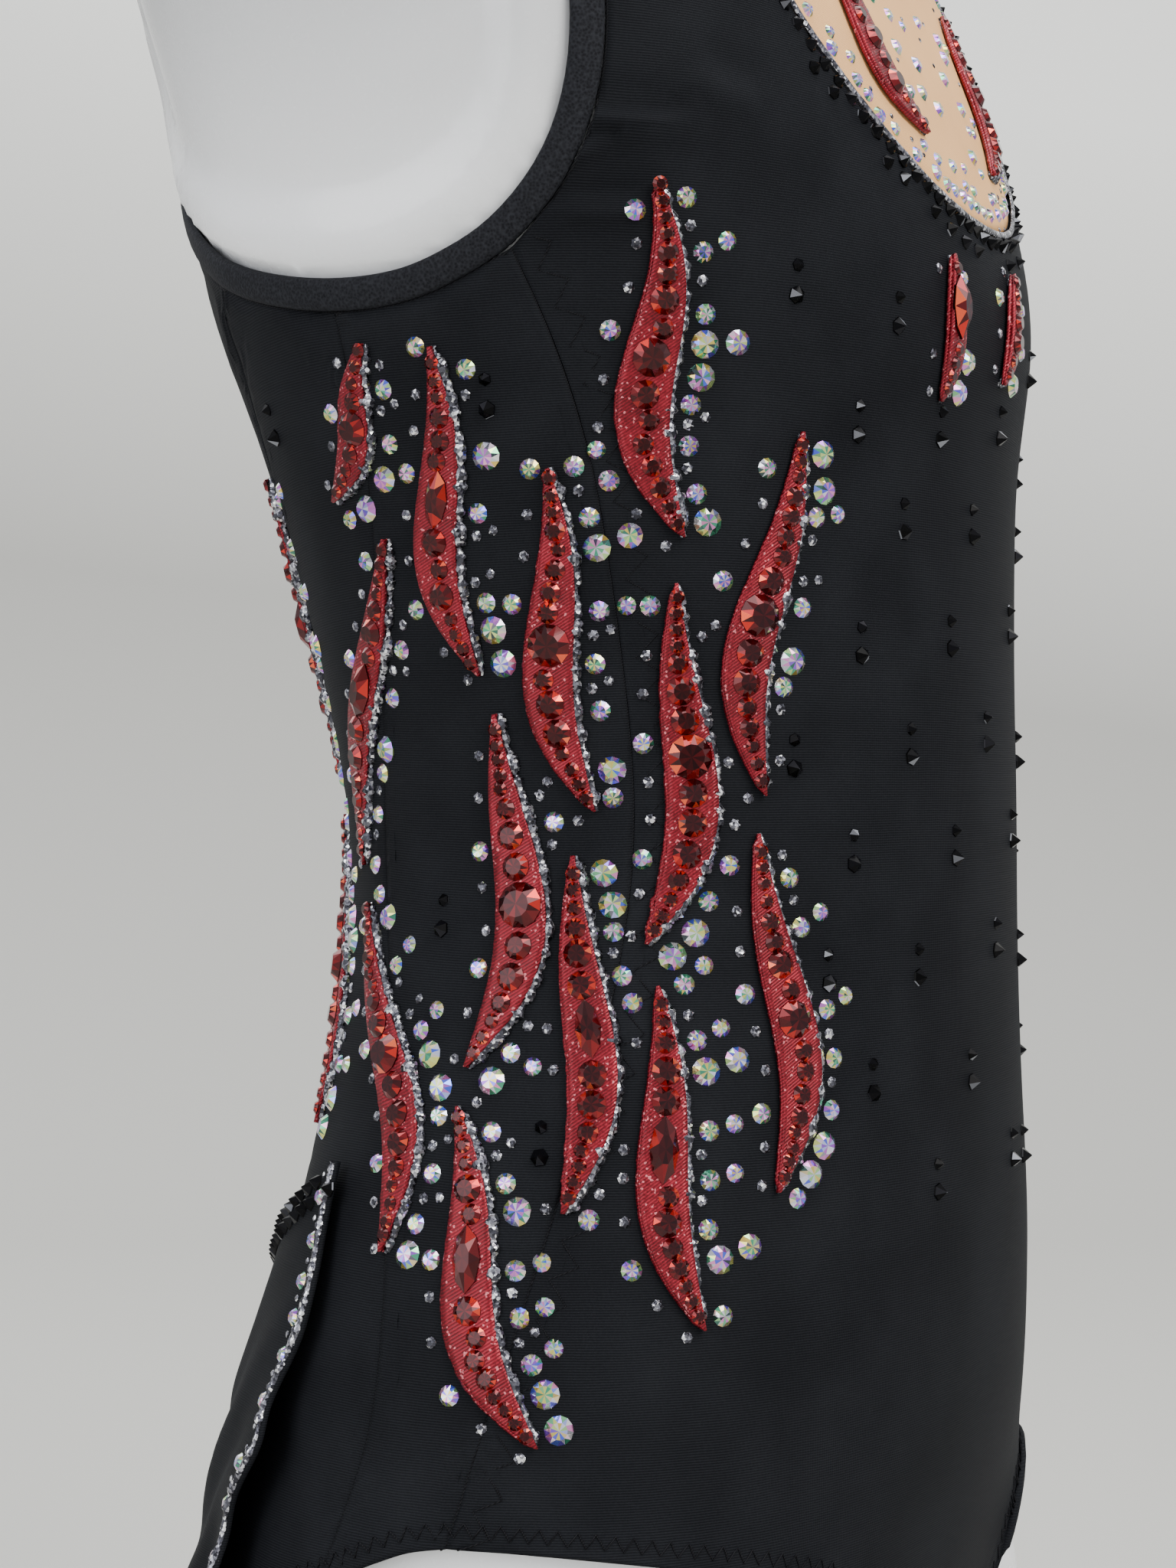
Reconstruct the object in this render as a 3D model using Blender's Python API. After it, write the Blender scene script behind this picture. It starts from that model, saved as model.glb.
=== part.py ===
"""A rhythmic gymnastics leotard on a limbless torso form.

The front looks along -Y, the wearer's right side is at -X and up is +Z.
The form stands on its two thigh stubs with the origin on the floor below it.
Tables and sizes are in millimetres and degrees, and objects are made in metres.
"""

import math

import bmesh
import bpy
import numpy as np

MM = 0.001
SHARP_ANGLE = 50
NUDGE = 0.05  # for slopes of the field
SURFACE_STEPS = 12
HALVINGS = 40
LINE_SAMPLES = 30

# Form: heights of its parts
CAP_HEIGHT = 165.0  # the trunk's sections start here and a rounded cap closes it below
CAP_DEPTH = 70.0
NECK_TOP = 672.0
NET_ROWS = 39  # rows of faces from the floor to the neck's flat top
NET_HALF_WIDTH = 162.0
NET_FRONT = 103.0
NET_BACK = 150.0
NET_SMOOTHING = 4

# Sections of the trunk, shoulders and neck
SECTION_COLUMNS = ("height", "half width", "front depth", "back depth", "centre", "squareness")
SECTIONS = (
    (165, 124, 79, 90, 7, 2.15),
    (185, 125, 82, 89, 6, 2.15),
    (230, 118, 86, 78, 6, 2.1),
    (290, 103, 81, 71, 2, 2.1),
    (340, 95, 79, 73, 0, 2.1),
    (400, 103, 84, 80, 6, 2.1),
    (430, 109, 87, 86, 9, 2.1),
    (464, 118, 95, 92, 14, 2.2),
    (510, 135, 90, 86, 22, 2.4),
    (548, 145, 84, 77, 33, 2.6),
    (575, 139, 75, 66, 36, 2.6),
    (597, 113, 62, 59, 35, 2.4),
    (613, 82, 55, 56, 33, 2.2),
    (628, 62, 52, 54, 31, 2.0),
    (650, 54, 50, 52, 30, 2.0),
    (690, 52, 49, 51, 30, 2.0),
)

# Thigh stubs: an upright oval each, joined to the trunk by a soft fillet
THIGH_CENTRE = 72.5
THIGH_TOP = 134.0  # above this height the stub is rounded off inside the trunk
THIGH_CAP = 45.0
THIGH_HALF_WIDTH = 50.0
THIGH_HALF_DEPTH = 72.0
THIGH_SHIFT = 5.5
THIGH_TAPER = 0.1  # how much narrower a stub is at the floor
FORM_FILLET = 14.0
CLOTH_FILLET = 34.0  # cloth bridges the groin, so its fillet is softer

# Cloth
CLEARANCE = 2.0  # between the form and the cloth
NECK_CLEARANCE = 1.3  # added where the cloth bridges the hollow at the neck
NECK_HOLLOW = (565.0, 600.0)  # heights over which that grows
CLOTH_WALL = 1.1
HEM_EXTRA = 0.6  # a turned hem is this much thicker
HEM_DEPTH = 6.0
SEAM_HALF_GAP = 0.18
LAID_ON = 0.55  # between a panel and what is sewn on it
APPLIQUE_WALL = 1.0

# Seams and edges on the wearer's right side: angle from centre front, height
NECKLINE = (
    (90, 610), (62, 606), (44, 596), (31, 572), (27, 548), (27, 524), (23, 508),
    (18, 497), (14, 490), (9, 485), (4, 482.5), (0, 482),
)
ARMHOLE_FRONT = (
    (90, 598), (63, 590), (52, 575), (49, 548), (54, 518), (59, 497), (66, 479), (76, 464),
)
ARMHOLE_UNDER_FRONT = ((76, 464), (86, 456), (93, 453.6), (101, 454))
ARMHOLE_UNDER_BACK = ((101, 454), (108, 456), (117, 460), (126, 466))
ARMHOLE_BACK = (
    (126, 466), (138, 477), (149, 492), (155, 512), (155, 536), (150, 562), (137, 583), (115, 594),
    (90, 598),
)
PRINCESS_SEAM = (
    (76, 464), (72, 442), (69.5, 420), (69, 385), (69.5, 345), (70.5, 310),
    (73, 275), (77.5, 235), (81, 212),
)
SIDE_SEAM = ((101, 454), (103, 420), (110, 375), (117, 336), (111, 300), (104, 268), (98, 235), (97, 208))
BACK_SEAM = ((126, 466), (133, 440), (141, 395), (146, 345), (147, 300), (144, 255), (141, 210))
NECK_EDGE = ((0, 601), (30, 606), (60, 614), (90, 620), (120, 622), (150, 621), (180, 620))
HIP_TURN = 186.0  # below this height the panels' rows turn under, towards the crotch
BODY_MIDDLE = 12.0  # depth of the line that rows of points are drawn round
CROTCH_BACK = 8.0

# Leg opening: a tilted ring round the leg, angle from its outer side towards the front, and lift
LEG_CENTRE = (-72.0, 8.0, 138.0)
LEG_TILT = 41.0
LEG_REACH = 80.0  # distance from the centre at which a lift is its full size
LEG_FAR = 160.0  # a place surely outside the body
LEG_SAMPLES = 60
LEG_RING = (
    (-180, 0), (-150, -2), (-120, -8), (-90, -14), (-60, -15), (-30, -11), (-10, -5), (0, 0),
    (12, 3), (35, 8), (61, 22), (72, 28), (85, 34), (95, 37), (106, 35), (129, 19), (155, 5), (180, 0),
)
PRINCESS_AT_LEG = 8.0
SIDE_AT_LEG = -18.0
BACK_AT_LEG = -62.0

# Rows and columns of faces on the panels
ROWS_ARMHOLE = 10
ROWS_BODY = 17
ROWS_LEG = 10
COLUMNS_FRONT = 10
COLUMNS_SIDE = 4
COLUMNS_BACK = 8
ROWS_YOKE = 7

# Back skirt: its free front edge and its centre back line
SKIRT_EDGE = (
    (114, 264), (113, 248), (110.5, 233), (113, 220), (114.5, 211), (112.5, 204),
    (115, 196), (118, 187), (118.5, 177), (115.5, 168), (119, 156),
)
SKIRT_CENTRE_TOP = 215.0
SKIRT_CENTRE_BOTTOM = 138.0
SEAT_LEVEL = 205.0  # below the seat the skirt hangs and no longer follows the body
SEAT_HOLD = 0.25
SKIRT_ROWS = 12
SKIRT_COLUMNS = 11
SKIRT_STAND = 1.1  # beyond the gap of what is laid on a panel
SKIRT_FLARE = 11.5  # how far its lower end stands out
SKIRT_CURVE = 1.4  # above one, it stands out mostly near its lower end
SKIRT_WAVE = 3.0
SKIRT_WAVES = 5

# Bindings and cords: across and height above the form's clearance of each corner of their cross-section
BINDING_PROFILE = ((0.3, 0), (0.3, 1.6), (1.6, 2.3), (6.0, 2.3), (7.6, 1.5), (7.6, 0))
NECK_BINDING_PROFILE = ((0.3, 0), (0.3, 1.4), (1.4, 2.0), (5.0, 2.0), (6.2, 1.3), (6.2, 0))
CORD_SHORTER = 0.1  # share of its first step that the cord keeps clear of the bindings
CORD_PROFILE = ((-1.0, 1.7), (-0.9, 2.2), (-0.4, 2.6), (0.4, 2.6), (0.9, 2.2), (1.0, 1.7))

# Leaf appliques: start angle, start height, end angle, end height, half width, bend
LEAVES_RIGHT = (
    (44.7, 259.5, 51.2, 338, 5.3, 0.07),
    (50, 346.5, 39.8, 427, 5.3, -0.07),
    (53.4, 231.5, 64.5, 304.5, 5.3, -0.05),
    (67, 313.5, 60, 393, 5.5, 0.05),
    (58.3, 403, 56.2, 478, 5.8, -0.07),
    (73.8, 256, 78.8, 333, 5.3, 0.05),
    (75.6, 343, 75.6, 418, 5.5, -0.07),
    (73.8, 208, 91, 277.5, 5.8, -0.07),
    (90.8, 286, 88.9, 365, 5.8, 0.07),
    (90.1, 373.5, 88.4, 445, 5.3, -0.07),
    (99.8, 245.5, 121, 321, 5.3, 0.07),
    (124, 330, 102.1, 404.5, 5.3, -0.07),
    (111.4, 414, 97.5, 447, 4.4, 0.07),
    (134, 268, 146, 342, 5.3, 0.07),
    (148, 350, 139, 424, 5.3, -0.07),
)
LEAVES_LEFT = LEAVES_RIGHT[2:10] + LEAVES_RIGHT[13:]
LEAVES_YOKE = (
    (8, 500, 14, 548, 6, -0.1),
    (-8, 500, -14, 548, 6, 0.1),
    (-2, 556, 12, 590, 5, 0.08),
)
LEAVES_FRONT = (
    (15, 438, 11.5, 471, 3.6, 0.05),
    (-1, 446, -5, 473, 3.4, 0.05),
)
LEAF_STEPS = 7
LEAF_SWAY = 0.6  # how much of its bend a leaf turns back the other way
LEAF_BELLY = 0.8  # below one, a leaf is widest before its middle
LEAF_ROUNDNESS = 0.9
LEAF_TIP = 0.35  # half width left at its ends

# Colour, roughness and metallic value of each material
MATERIALS = {
    "black_knit": ((0.009, 0.010, 0.012), 0.55, 0.0),
    "black_binding": ((0.012, 0.012, 0.014), 0.75, 0.0),
    "nude_mesh": ((0.73, 0.51, 0.30), 0.6, 0.0),
    "red_foil": ((0.42, 0.012, 0.015), 0.35, 0.6),
    "silver_glitter": ((0.62, 0.63, 0.66), 0.3, 0.9),
    "white_gloss": ((0.80, 0.80, 0.79), 0.15, 0.0),
}


def clear_scene():
    for item in list(bpy.data.objects):
        bpy.data.objects.remove(item, do_unlink=True)


def material(name):
    found = bpy.data.materials.get(name)
    if found:
        return found
    colour, roughness, metallic = MATERIALS[name]
    made = bpy.data.materials.new(name)
    made.use_nodes = True
    shader = made.node_tree.nodes["Principled BSDF"]
    shader.inputs["Base Color"].default_value = (*colour, 1.0)
    shader.inputs["Roughness"].default_value = roughness
    shader.inputs["Metallic"].default_value = metallic
    return made


def smooth_table(rows, count_or_places):
    """Points on a smooth curve through the rows of a table, evenly spaced or at the given places."""
    table = np.array(rows, float)
    last = len(table) - 1
    places = count_or_places
    if np.isscalar(places):
        places = np.linspace(0, last, int(places))
    at = np.clip(np.floor(places).astype(int), 0, last - 1)
    step = (places - at)[:, None]
    before = table[np.maximum(at - 1, 0)]
    start, end = table[at], table[at + 1]
    after = table[np.minimum(at + 2, last)]
    curve = 2 * start + (end - before) * step
    curve += (2 * before - 5 * start + 4 * end - after) * step**2
    return 0.5 * (curve + (3 * start - before - 3 * end + after) * step**3)


def section_at(height):
    """Half width, front depth, back depth, centre and squareness at each height."""
    table = np.array(SECTIONS, float)
    levels = table[:, 0]
    level = np.clip(height, levels[0], levels[-1])
    at = np.clip(np.searchsorted(levels, level, side="right") - 1, 0, len(levels) - 2)
    gap = levels[at + 1] - levels[at]
    step = (level - levels[at]) / gap
    values = []
    for column in range(1, len(SECTION_COLUMNS)):
        data = table[:, column]
        slope = np.zeros(len(data))
        slope[1:-1] = (data[2:] - data[:-2]) / (levels[2:] - levels[:-2])
        start = (1 + 2 * step) * (1 - step) ** 2 * data[at]
        start += step * (1 - step) ** 2 * gap * slope[at]
        end = step**2 * (3 - 2 * step) * data[at + 1]
        end += step**2 * (step - 1) * gap * slope[at + 1]
        values.append(start + end)
    return values


def trunk_field(points):
    half_width, front, back, centre, square = section_at(points[..., 2])
    across = np.abs(points[..., 0]) / half_width
    deep = points[..., 1] - centre
    deep = np.abs(deep) / np.where(deep < 0, front, back)
    ring = (across**square + deep**square + 1e-12) ** (1 / square)
    below = np.clip((CAP_HEIGHT - points[..., 2]) / CAP_DEPTH, 0, None)
    return (np.sqrt(ring**2 + below**2) - 1) * 0.5 * (half_width + 0.5 * (front + back))


def thigh_field(points):
    taper = 1 - THIGH_TAPER * np.clip(1 - points[..., 2] / THIGH_TOP, 0, 1)
    across = (np.abs(points[..., 0]) - THIGH_CENTRE) / (THIGH_HALF_WIDTH * taper)
    deep = (points[..., 1] - THIGH_SHIFT) / (THIGH_HALF_DEPTH * taper)
    above = np.clip((points[..., 2] - THIGH_TOP) / THIGH_CAP, 0, None)
    return (np.sqrt(across**2 + deep**2 + above**2 + 1e-12) - 1) * THIGH_HALF_WIDTH


def body_field(points, fillet):
    """Roughly the distance outside the torso, with a fillet where the thighs join the trunk."""
    trunk, thigh = trunk_field(points), thigh_field(points)
    near = np.clip(fillet - np.abs(trunk - thigh), 0, None) / fillet
    return np.minimum(trunk, thigh) - near**2 * fillet / 4


def gradient(points, fillet):
    parts = []
    for axis in range(3):
        move = np.zeros(3)
        move[axis] = NUDGE
        rise = body_field(points + move, fillet) - body_field(points - move, fillet)
        parts.append(rise / (2 * NUDGE))
    return np.stack(parts, -1)


def to_surface(points, fillet=CLOTH_FILLET):
    points = np.array(points, float)
    for _ in range(SURFACE_STEPS):
        slope = gradient(points, fillet)
        size = np.maximum((slope**2).sum(-1), 1e-4)
        points = points - slope * (body_field(points, fillet) / size)[..., None]
    return points


def normals_at(points, fillet=CLOTH_FILLET):
    slope = gradient(points, fillet)
    return slope / np.linalg.norm(slope, axis=-1, keepdims=True)


def clearance(points):
    low, high = NECK_HOLLOW
    share = np.clip((points[..., 2] - low) / (high - low), 0, 1)
    return CLEARANCE + NECK_CLEARANCE * share**2 * (3 - 2 * share)


def round_the_body(angles, heights):
    """Points on the trunk at an angle from centre front, towards the wearer's right, and a height."""
    heights = np.asarray(heights, float)
    half_width, front, back, centre, square = section_at(heights)
    side, ahead = np.sin(np.radians(angles)), np.cos(np.radians(angles))
    power = 2 / square
    depth = np.where(ahead > 0, front, back)
    x = -half_width * np.sign(side) * np.abs(side) ** power
    y = centre - depth * np.sign(ahead) * np.abs(ahead) ** power
    return np.stack([x, y, heights], -1)


def edge(table, count):
    """Evenly spaced points on the cloth's surface along a table of angles and heights."""
    fine = smooth_table(table, 12 * len(table))
    return even(to_surface(round_the_body(fine[:, 0], fine[:, 1])), count)


def even(points, count):
    along = np.concatenate([[0], np.cumsum(np.linalg.norm(np.diff(points, axis=0), axis=1))])
    at = np.linspace(0, along[-1], count)
    return to_surface(np.stack([np.interp(at, along, points[:, k]) for k in range(3)], -1))


def leg_edge(start, end, count):
    """The leg opening's edge between two angles round the leg."""
    tilt = math.radians(LEG_TILT)
    outward = np.array([-math.cos(tilt), 0.0, math.sin(tilt)])
    ahead = np.array([0.0, -1.0, 0.0])
    upward = np.array([math.sin(tilt), 0.0, math.cos(tilt)])
    angles = np.linspace(start, end, LEG_SAMPLES)
    ring = np.array(LEG_RING, float)
    lift = np.interp(angles, ring[:, 0], ring[:, 1])
    soft = np.array([1.0, 2.0, 3.0, 2.0, 1.0]) / 9
    lift = np.convolve(np.pad(lift, 2, mode="edge"), soft, mode="valid")
    turn = np.radians(angles)[:, None]
    way = np.cos(turn) * outward + np.sin(turn) * ahead + (lift / LEG_REACH)[:, None] * upward
    low, high = np.zeros(len(angles)), np.full(len(angles), LEG_FAR)
    for _ in range(HALVINGS):
        middle = (low + high) / 2
        outside = body_field(np.array(LEG_CENTRE) + way * middle[:, None], CLOTH_FILLET) > 0
        high = np.where(outside, middle, high)
        low = np.where(outside, low, middle)
    return even(np.array(LEG_CENTRE) + way * low[:, None], count)


def centre_line(top, front, count):
    """Points down the middle of the body from a height to the crotch seam."""
    angle = 0 if front else 180
    heights = np.linspace(top, CAP_HEIGHT, LINE_SAMPLES)
    upper = round_the_body(np.full(LINE_SAMPLES, float(angle)), heights)
    turn = np.radians(np.linspace(0, 90, LINE_SAMPLES))[1:]
    middle = np.array([0.0, CROTCH_BACK, CAP_HEIGHT])
    reach = abs(upper[-1][1] - CROTCH_BACK)
    side = -1 if front else 1
    lower = np.stack([0 * turn, side * reach * np.cos(turn), -CAP_DEPTH * np.sin(turn)], -1) + middle
    line = to_surface(np.concatenate([upper, lower]))
    line[:, 0] = 0
    made = even(line, count)
    made[:, 0] = 0
    return made


def across(start, end, columns, start_gap, end_gap, margin=0.0):
    """A row of points over the body between two points, with gaps at its ends for the seams."""
    pivot = np.array([0.0, BODY_MIDDLE, max((start[2] + end[2]) / 2, HIP_TURN)])
    a, b = start - pivot, end - pivot
    size_a, size_b = np.linalg.norm(a), np.linalg.norm(b)
    cosine = float(np.clip(a @ b / (size_a * size_b), -1, 1))
    angle = max(math.acos(cosine), 1e-4)
    width = angle * (size_a + size_b) / 2
    places = np.linspace(start_gap / width, 1 - (margin or end_gap) / width, columns + (not margin))
    if margin:
        places = np.append(places, 1 - end_gap / width)
    first = np.sin((1 - places) * angle) / math.sin(angle)
    second = np.sin(places * angle) / math.sin(angle)
    way = first[:, None] * a / size_a + second[:, None] * b / size_b
    return pivot + way * (size_a + (size_b - size_a) * places)[:, None]


def panel_grid(side_a, side_b, columns, gap_a, gap_b, top=None, blend=4, margin=0.0):
    """Rows of surface points between two edges, whose first row may follow an edge of its own."""
    grid = np.array(
        [across(a, b, columns, gap_a, gap_b, margin) for a, b in zip(side_a, side_b)]
    )
    if top is not None:
        change = top - grid[0]
        for row in range(blend + 1):
            grid[row] += change * (1 - row / (blend + 1)) ** 2
    return to_surface(grid)


def shift_row(grid, row, neighbour, gap=SEAM_HALF_GAP):
    """Draws one end row in by a seam's half gap."""
    way = grid[neighbour] - grid[row]
    way /= np.linalg.norm(way, axis=-1, keepdims=True)
    grid[row] = grid[row] + way * gap


def grid_faces(rows, columns, offset=0):
    faces = []
    for row in range(rows - 1):
        for column in range(columns - 1):
            a = offset + row * columns + column
            faces.append((a, a + columns, a + columns + 1, a + 1))
    return faces


def mirrored(points, faces, lift):
    """The same patch on both sides, joined where it meets the middle."""
    points, lift = np.asarray(points), np.asarray(lift)
    count = len(points)
    middle = np.abs(points[:, 0]) < 1e-6
    new_index = np.cumsum(~middle) - 1 + count
    other = np.where(middle, np.arange(count), new_index)
    flipped = points[~middle] * np.array([-1, 1, 1])
    faces = list(faces) + [tuple(int(other[i]) for i in reversed(face)) for face in faces]
    return np.concatenate([points, flipped]), faces, np.concatenate([lift, lift[~middle]])


def add_mesh(name, points, faces, finish):
    mesh = bpy.data.meshes.new(name)
    mesh.from_pydata([tuple(p) for p in np.asarray(points) * MM], [], [list(f) for f in faces])
    work = bmesh.new()
    work.from_mesh(mesh)
    bmesh.ops.recalc_face_normals(work, faces=work.faces)
    work.to_mesh(mesh)
    work.free()
    made = bpy.data.objects.new(name, mesh)
    bpy.context.collection.objects.link(made)
    mesh.materials.append(material(finish))
    mesh.shade_smooth()
    mesh.set_sharp_from_angle(angle=math.radians(SHARP_ANGLE))


def cloth_wall(name, points, faces, lift, finish, base=0.0, wall=CLOTH_WALL):
    """A closed wall of cloth over a patch of the body's surface, raised outside by lift."""
    points = np.asarray(points, float)
    out = normals_at(points)
    count = len(points)
    inside = base + clearance(points)
    inner = points + out * inside[:, None]
    outer = points + out * (inside + wall + np.asarray(lift, float))[:, None]
    close_wall(name, inner, outer, faces, count, finish)


def close_wall(name, inner, outer, faces, count, finish):
    edges = {}
    for face in faces:
        for a, b in zip(face, face[1:] + face[:1]):
            edges[(a, b)] = edges.get((a, b), 0) + 1
    rim = [(a, b) for a, b in edges if (b, a) not in edges]
    walls = [(b, a, a + count, b + count) for a, b in rim]
    back = [tuple(i + count for i in reversed(face)) for face in faces]
    add_mesh(name, np.concatenate([outer, inner]), list(faces) + back + walls, finish)


def both_sides(name, points, faces, lift, finish):
    """One panel for the wearer's right and its mirror image for the left."""
    cloth_wall(f"{name}_right", points, faces, lift, finish)
    flipped = np.asarray(points) * np.array([-1, 1, 1])
    turned = [tuple(reversed(face)) for face in faces]
    cloth_wall(f"{name}_left", flipped, turned, lift, finish)


def hem_lift(rows, columns, first_hem_row):
    """Extra wall along the last two columns, where a panel's side is the leg's hem."""
    lift = np.zeros((rows, columns))
    lift[first_hem_row:, -2:] = HEM_EXTRA
    return lift.ravel()


def bottom_lift(rows, columns):
    lift = np.zeros((rows, columns))
    lift[-2:] = HEM_EXTRA
    return lift.ravel()


def band(name, curve, profile, finish, closed=True):
    """A strip of one cross-section along a curve on the body."""
    ahead = np.roll(curve, -1, axis=0) - np.roll(curve, 1, axis=0)
    if not closed:
        ahead[0] = curve[1] - curve[0]
        ahead[-1] = curve[-1] - curve[-2]
    ahead /= np.linalg.norm(ahead, axis=1, keepdims=True)
    side = np.cross(ahead, normals_at(curve))
    side /= np.linalg.norm(side, axis=1, keepdims=True)
    rings = []
    for over, height in profile:
        foot = to_surface(curve + side * over)
        rings.append(foot + normals_at(foot) * (clearance(foot) + height)[:, None])
    points = np.stack(rings, 1)
    count, corners = points.shape[:2]
    faces = []
    for i in range(count if closed else count - 1):
        for k in range(corners):
            after, turn = (i + 1) % count, (k + 1) % corners
            faces.append((i * corners + k, after * corners + k, after * corners + turn, i * corners + turn))
    if not closed:
        faces.append(tuple(range(corners)))
        faces.append(tuple((count - 1) * corners + k for k in reversed(range(corners))))
    add_mesh(name, points.reshape(-1, 3), faces, finish)


def net_faces(inside, index):
    """A face across each edge of the grid that leaves the body."""
    faces = []
    for axis in range(3):
        one, two = [k for k in range(3) if k != axis]
        here = [slice(1, -1)] * 3
        here[axis] = slice(0, -1)
        there = list(here)
        there[axis] = slice(1, None)
        crossing = inside[tuple(here)] != inside[tuple(there)]
        for cell_at in np.argwhere(crossing):
            cell_at = cell_at.copy()
            cell_at[one] += 1
            cell_at[two] += 1
            ring = []
            for step_one, step_two in ((-1, -1), (0, -1), (0, 0), (-1, 0)):
                at = cell_at.copy()
                at[one] += step_one
                at[two] += step_two
                ring.append(int(index[tuple(at)]))
            faces.append(tuple(ring))
    return faces


def torso_form():
    """The form: a net of faces round the body, flat at the floor and at the top of the neck."""
    cell = NECK_TOP / NET_ROWS
    low = np.array([-NET_HALF_WIDTH, -NET_FRONT, -cell / 2])
    width, depth = 2 * NET_HALF_WIDTH, NET_FRONT + NET_BACK
    counts = [math.ceil(width / cell) + 1, math.ceil(depth / cell) + 1, NET_ROWS + 2]
    axes = [low[k] + cell * np.arange(counts[k]) for k in range(3)]
    axes[0] = axes[0] - axes[0].mean()
    nodes = np.stack(np.meshgrid(*axes, indexing="ij"), -1)
    value = body_field(nodes, FORM_FILLET)
    value[..., 0] = 1.0
    value[..., -1] = 1.0
    inside = value < 0
    total = np.zeros([n - 1 for n in counts] + [3])
    hits = np.zeros([n - 1 for n in counts])
    corner = [(i, j, k) for i in (0, 1) for j in (0, 1) for k in (0, 1)]
    size = [n - 1 for n in counts]

    def part(array, move):
        return array[move[0] : move[0] + size[0], move[1] : move[1] + size[1], move[2] : move[2] + size[2]]

    for start in corner:
        for axis in range(3):
            if start[axis]:
                continue
            end = tuple(1 if k == axis else start[k] for k in range(3))
            a, b = part(value, start), part(value, end)
            crossing = part(inside, start) != part(inside, end)
            share = np.where(crossing, a / np.where(crossing, a - b, 1), 0)[..., None]
            place = part(nodes, start) * (1 - share) + part(nodes, end) * share
            total += np.where(crossing[..., None], place, 0)
            hits += crossing
    used = hits > 0
    index = np.cumsum(used.ravel()).reshape(used.shape) - 1
    points = total[used] / hits[used][:, None]
    layer = np.nonzero(used)[2]
    upper = [part(inside, c) for c in corner if c[2] == 1]
    lower = [part(inside, c) for c in corner if c[2] == 0]
    filled = np.where(
        (np.arange(size[2]) == 0)[None, None, :], np.all(upper, axis=0), np.all(lower, axis=0)
    )[used]
    flat = (layer == 0) | (layer == size[2] - 1)
    free = ~flat
    faces = net_faces(inside, index)
    pairs = np.array([(a, b) for face in faces for a, b in zip(face, face[1:] + face[:1])])
    for _ in range(NET_SMOOTHING):
        mean, number = np.zeros_like(points), np.zeros(len(points))
        np.add.at(mean, pairs[:, 0], points[pairs[:, 1]])
        np.add.at(number, pairs[:, 0], 1)
        mean = to_surface(mean / number[:, None], FORM_FILLET)
        points = np.where(free[:, None], mean, points)
    for at, level in ((0, 0.0), (size[2] - 1, NECK_TOP)):
        rim = (layer == at) & ~filled
        for _ in range(SURFACE_STEPS):
            points[rim, 2] = level
            slope = gradient(points[rim], FORM_FILLET)
            slope[:, 2] = 0
            weight = np.maximum((slope**2).sum(-1), 1e-4)
            points[rim] -= slope * (body_field(points[rim], FORM_FILLET) / weight)[:, None]
        points[layer == at, 2] = level
    add_mesh("torso_form", points, faces, "white_gloss")


def seam_edges():
    """The shared edges of the panels, each sampled once so that neighbours meet point to point."""
    edges = {
        "neckline": edge(NECKLINE, ROWS_ARMHOLE + 1),
        "arm_front": edge(ARMHOLE_FRONT, ROWS_ARMHOLE + 1),
        "arm_under_front": edge(ARMHOLE_UNDER_FRONT, COLUMNS_SIDE + 1),
        "arm_under_back": edge(ARMHOLE_UNDER_BACK, COLUMNS_SIDE + 1),
        "arm_back": edge(ARMHOLE_BACK, ROWS_ARMHOLE + 1),
        "neck_front": edge(NECK_EDGE[:4], ROWS_ARMHOLE + 1),
        "neck_back": edge(NECK_EDGE[3:], COLUMNS_BACK - 1),
    }
    places = (("princess", PRINCESS_SEAM, PRINCESS_AT_LEG), ("side", SIDE_SEAM, SIDE_AT_LEG))
    places += (("back", BACK_SEAM, BACK_AT_LEG),)
    for name, table, at_leg in places:
        fine = smooth_table(table, 12 * len(table))
        upper = to_surface(round_the_body(fine[:, 0], fine[:, 1]))
        corner = leg_edge(at_leg, at_leg + 0.01, 2)[:1]
        edges[name] = even(np.concatenate([upper, corner]), ROWS_BODY + 1)
    return edges


def front_panel(edges):
    centre_top = centre_line(NECKLINE[-1][1], True, ROWS_BODY + ROWS_LEG + 1)
    hem = leg_edge(PRINCESS_AT_LEG, 180, ROWS_LEG + 1)
    side_a = np.concatenate([edges["neckline"], centre_top[1:]])
    side_b = np.concatenate([edges["arm_front"], edges["princess"][1:], hem[1:]])
    grid = panel_grid(side_a, side_b, COLUMNS_FRONT, 0, SEAM_HALF_GAP, margin=HEM_DEPTH)
    way = grid[: ROWS_ARMHOLE + 1, 1] - grid[: ROWS_ARMHOLE + 1, 0]
    way /= np.linalg.norm(way, axis=1, keepdims=True)
    grid[: ROWS_ARMHOLE + 1, 0] += way * SEAM_HALF_GAP
    grid[ROWS_ARMHOLE, 0] = side_a[ROWS_ARMHOLE] - np.array([0, 0, SEAM_HALF_GAP])
    grid[ROWS_ARMHOLE:, 0, 0] = 0
    shift_row(grid, 0, 1)
    shift_row(grid, -1, -2)
    grid[-1, 0, 0] = 0
    rows, columns = grid.shape[:2]
    faces = grid_faces(rows, columns)
    lift = hem_lift(rows, columns, ROWS_ARMHOLE + ROWS_BODY)
    points, faces, lift = mirrored(grid.reshape(-1, 3), faces, lift)
    cloth_wall("front_panel", points, faces, lift, "black_knit")


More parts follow.
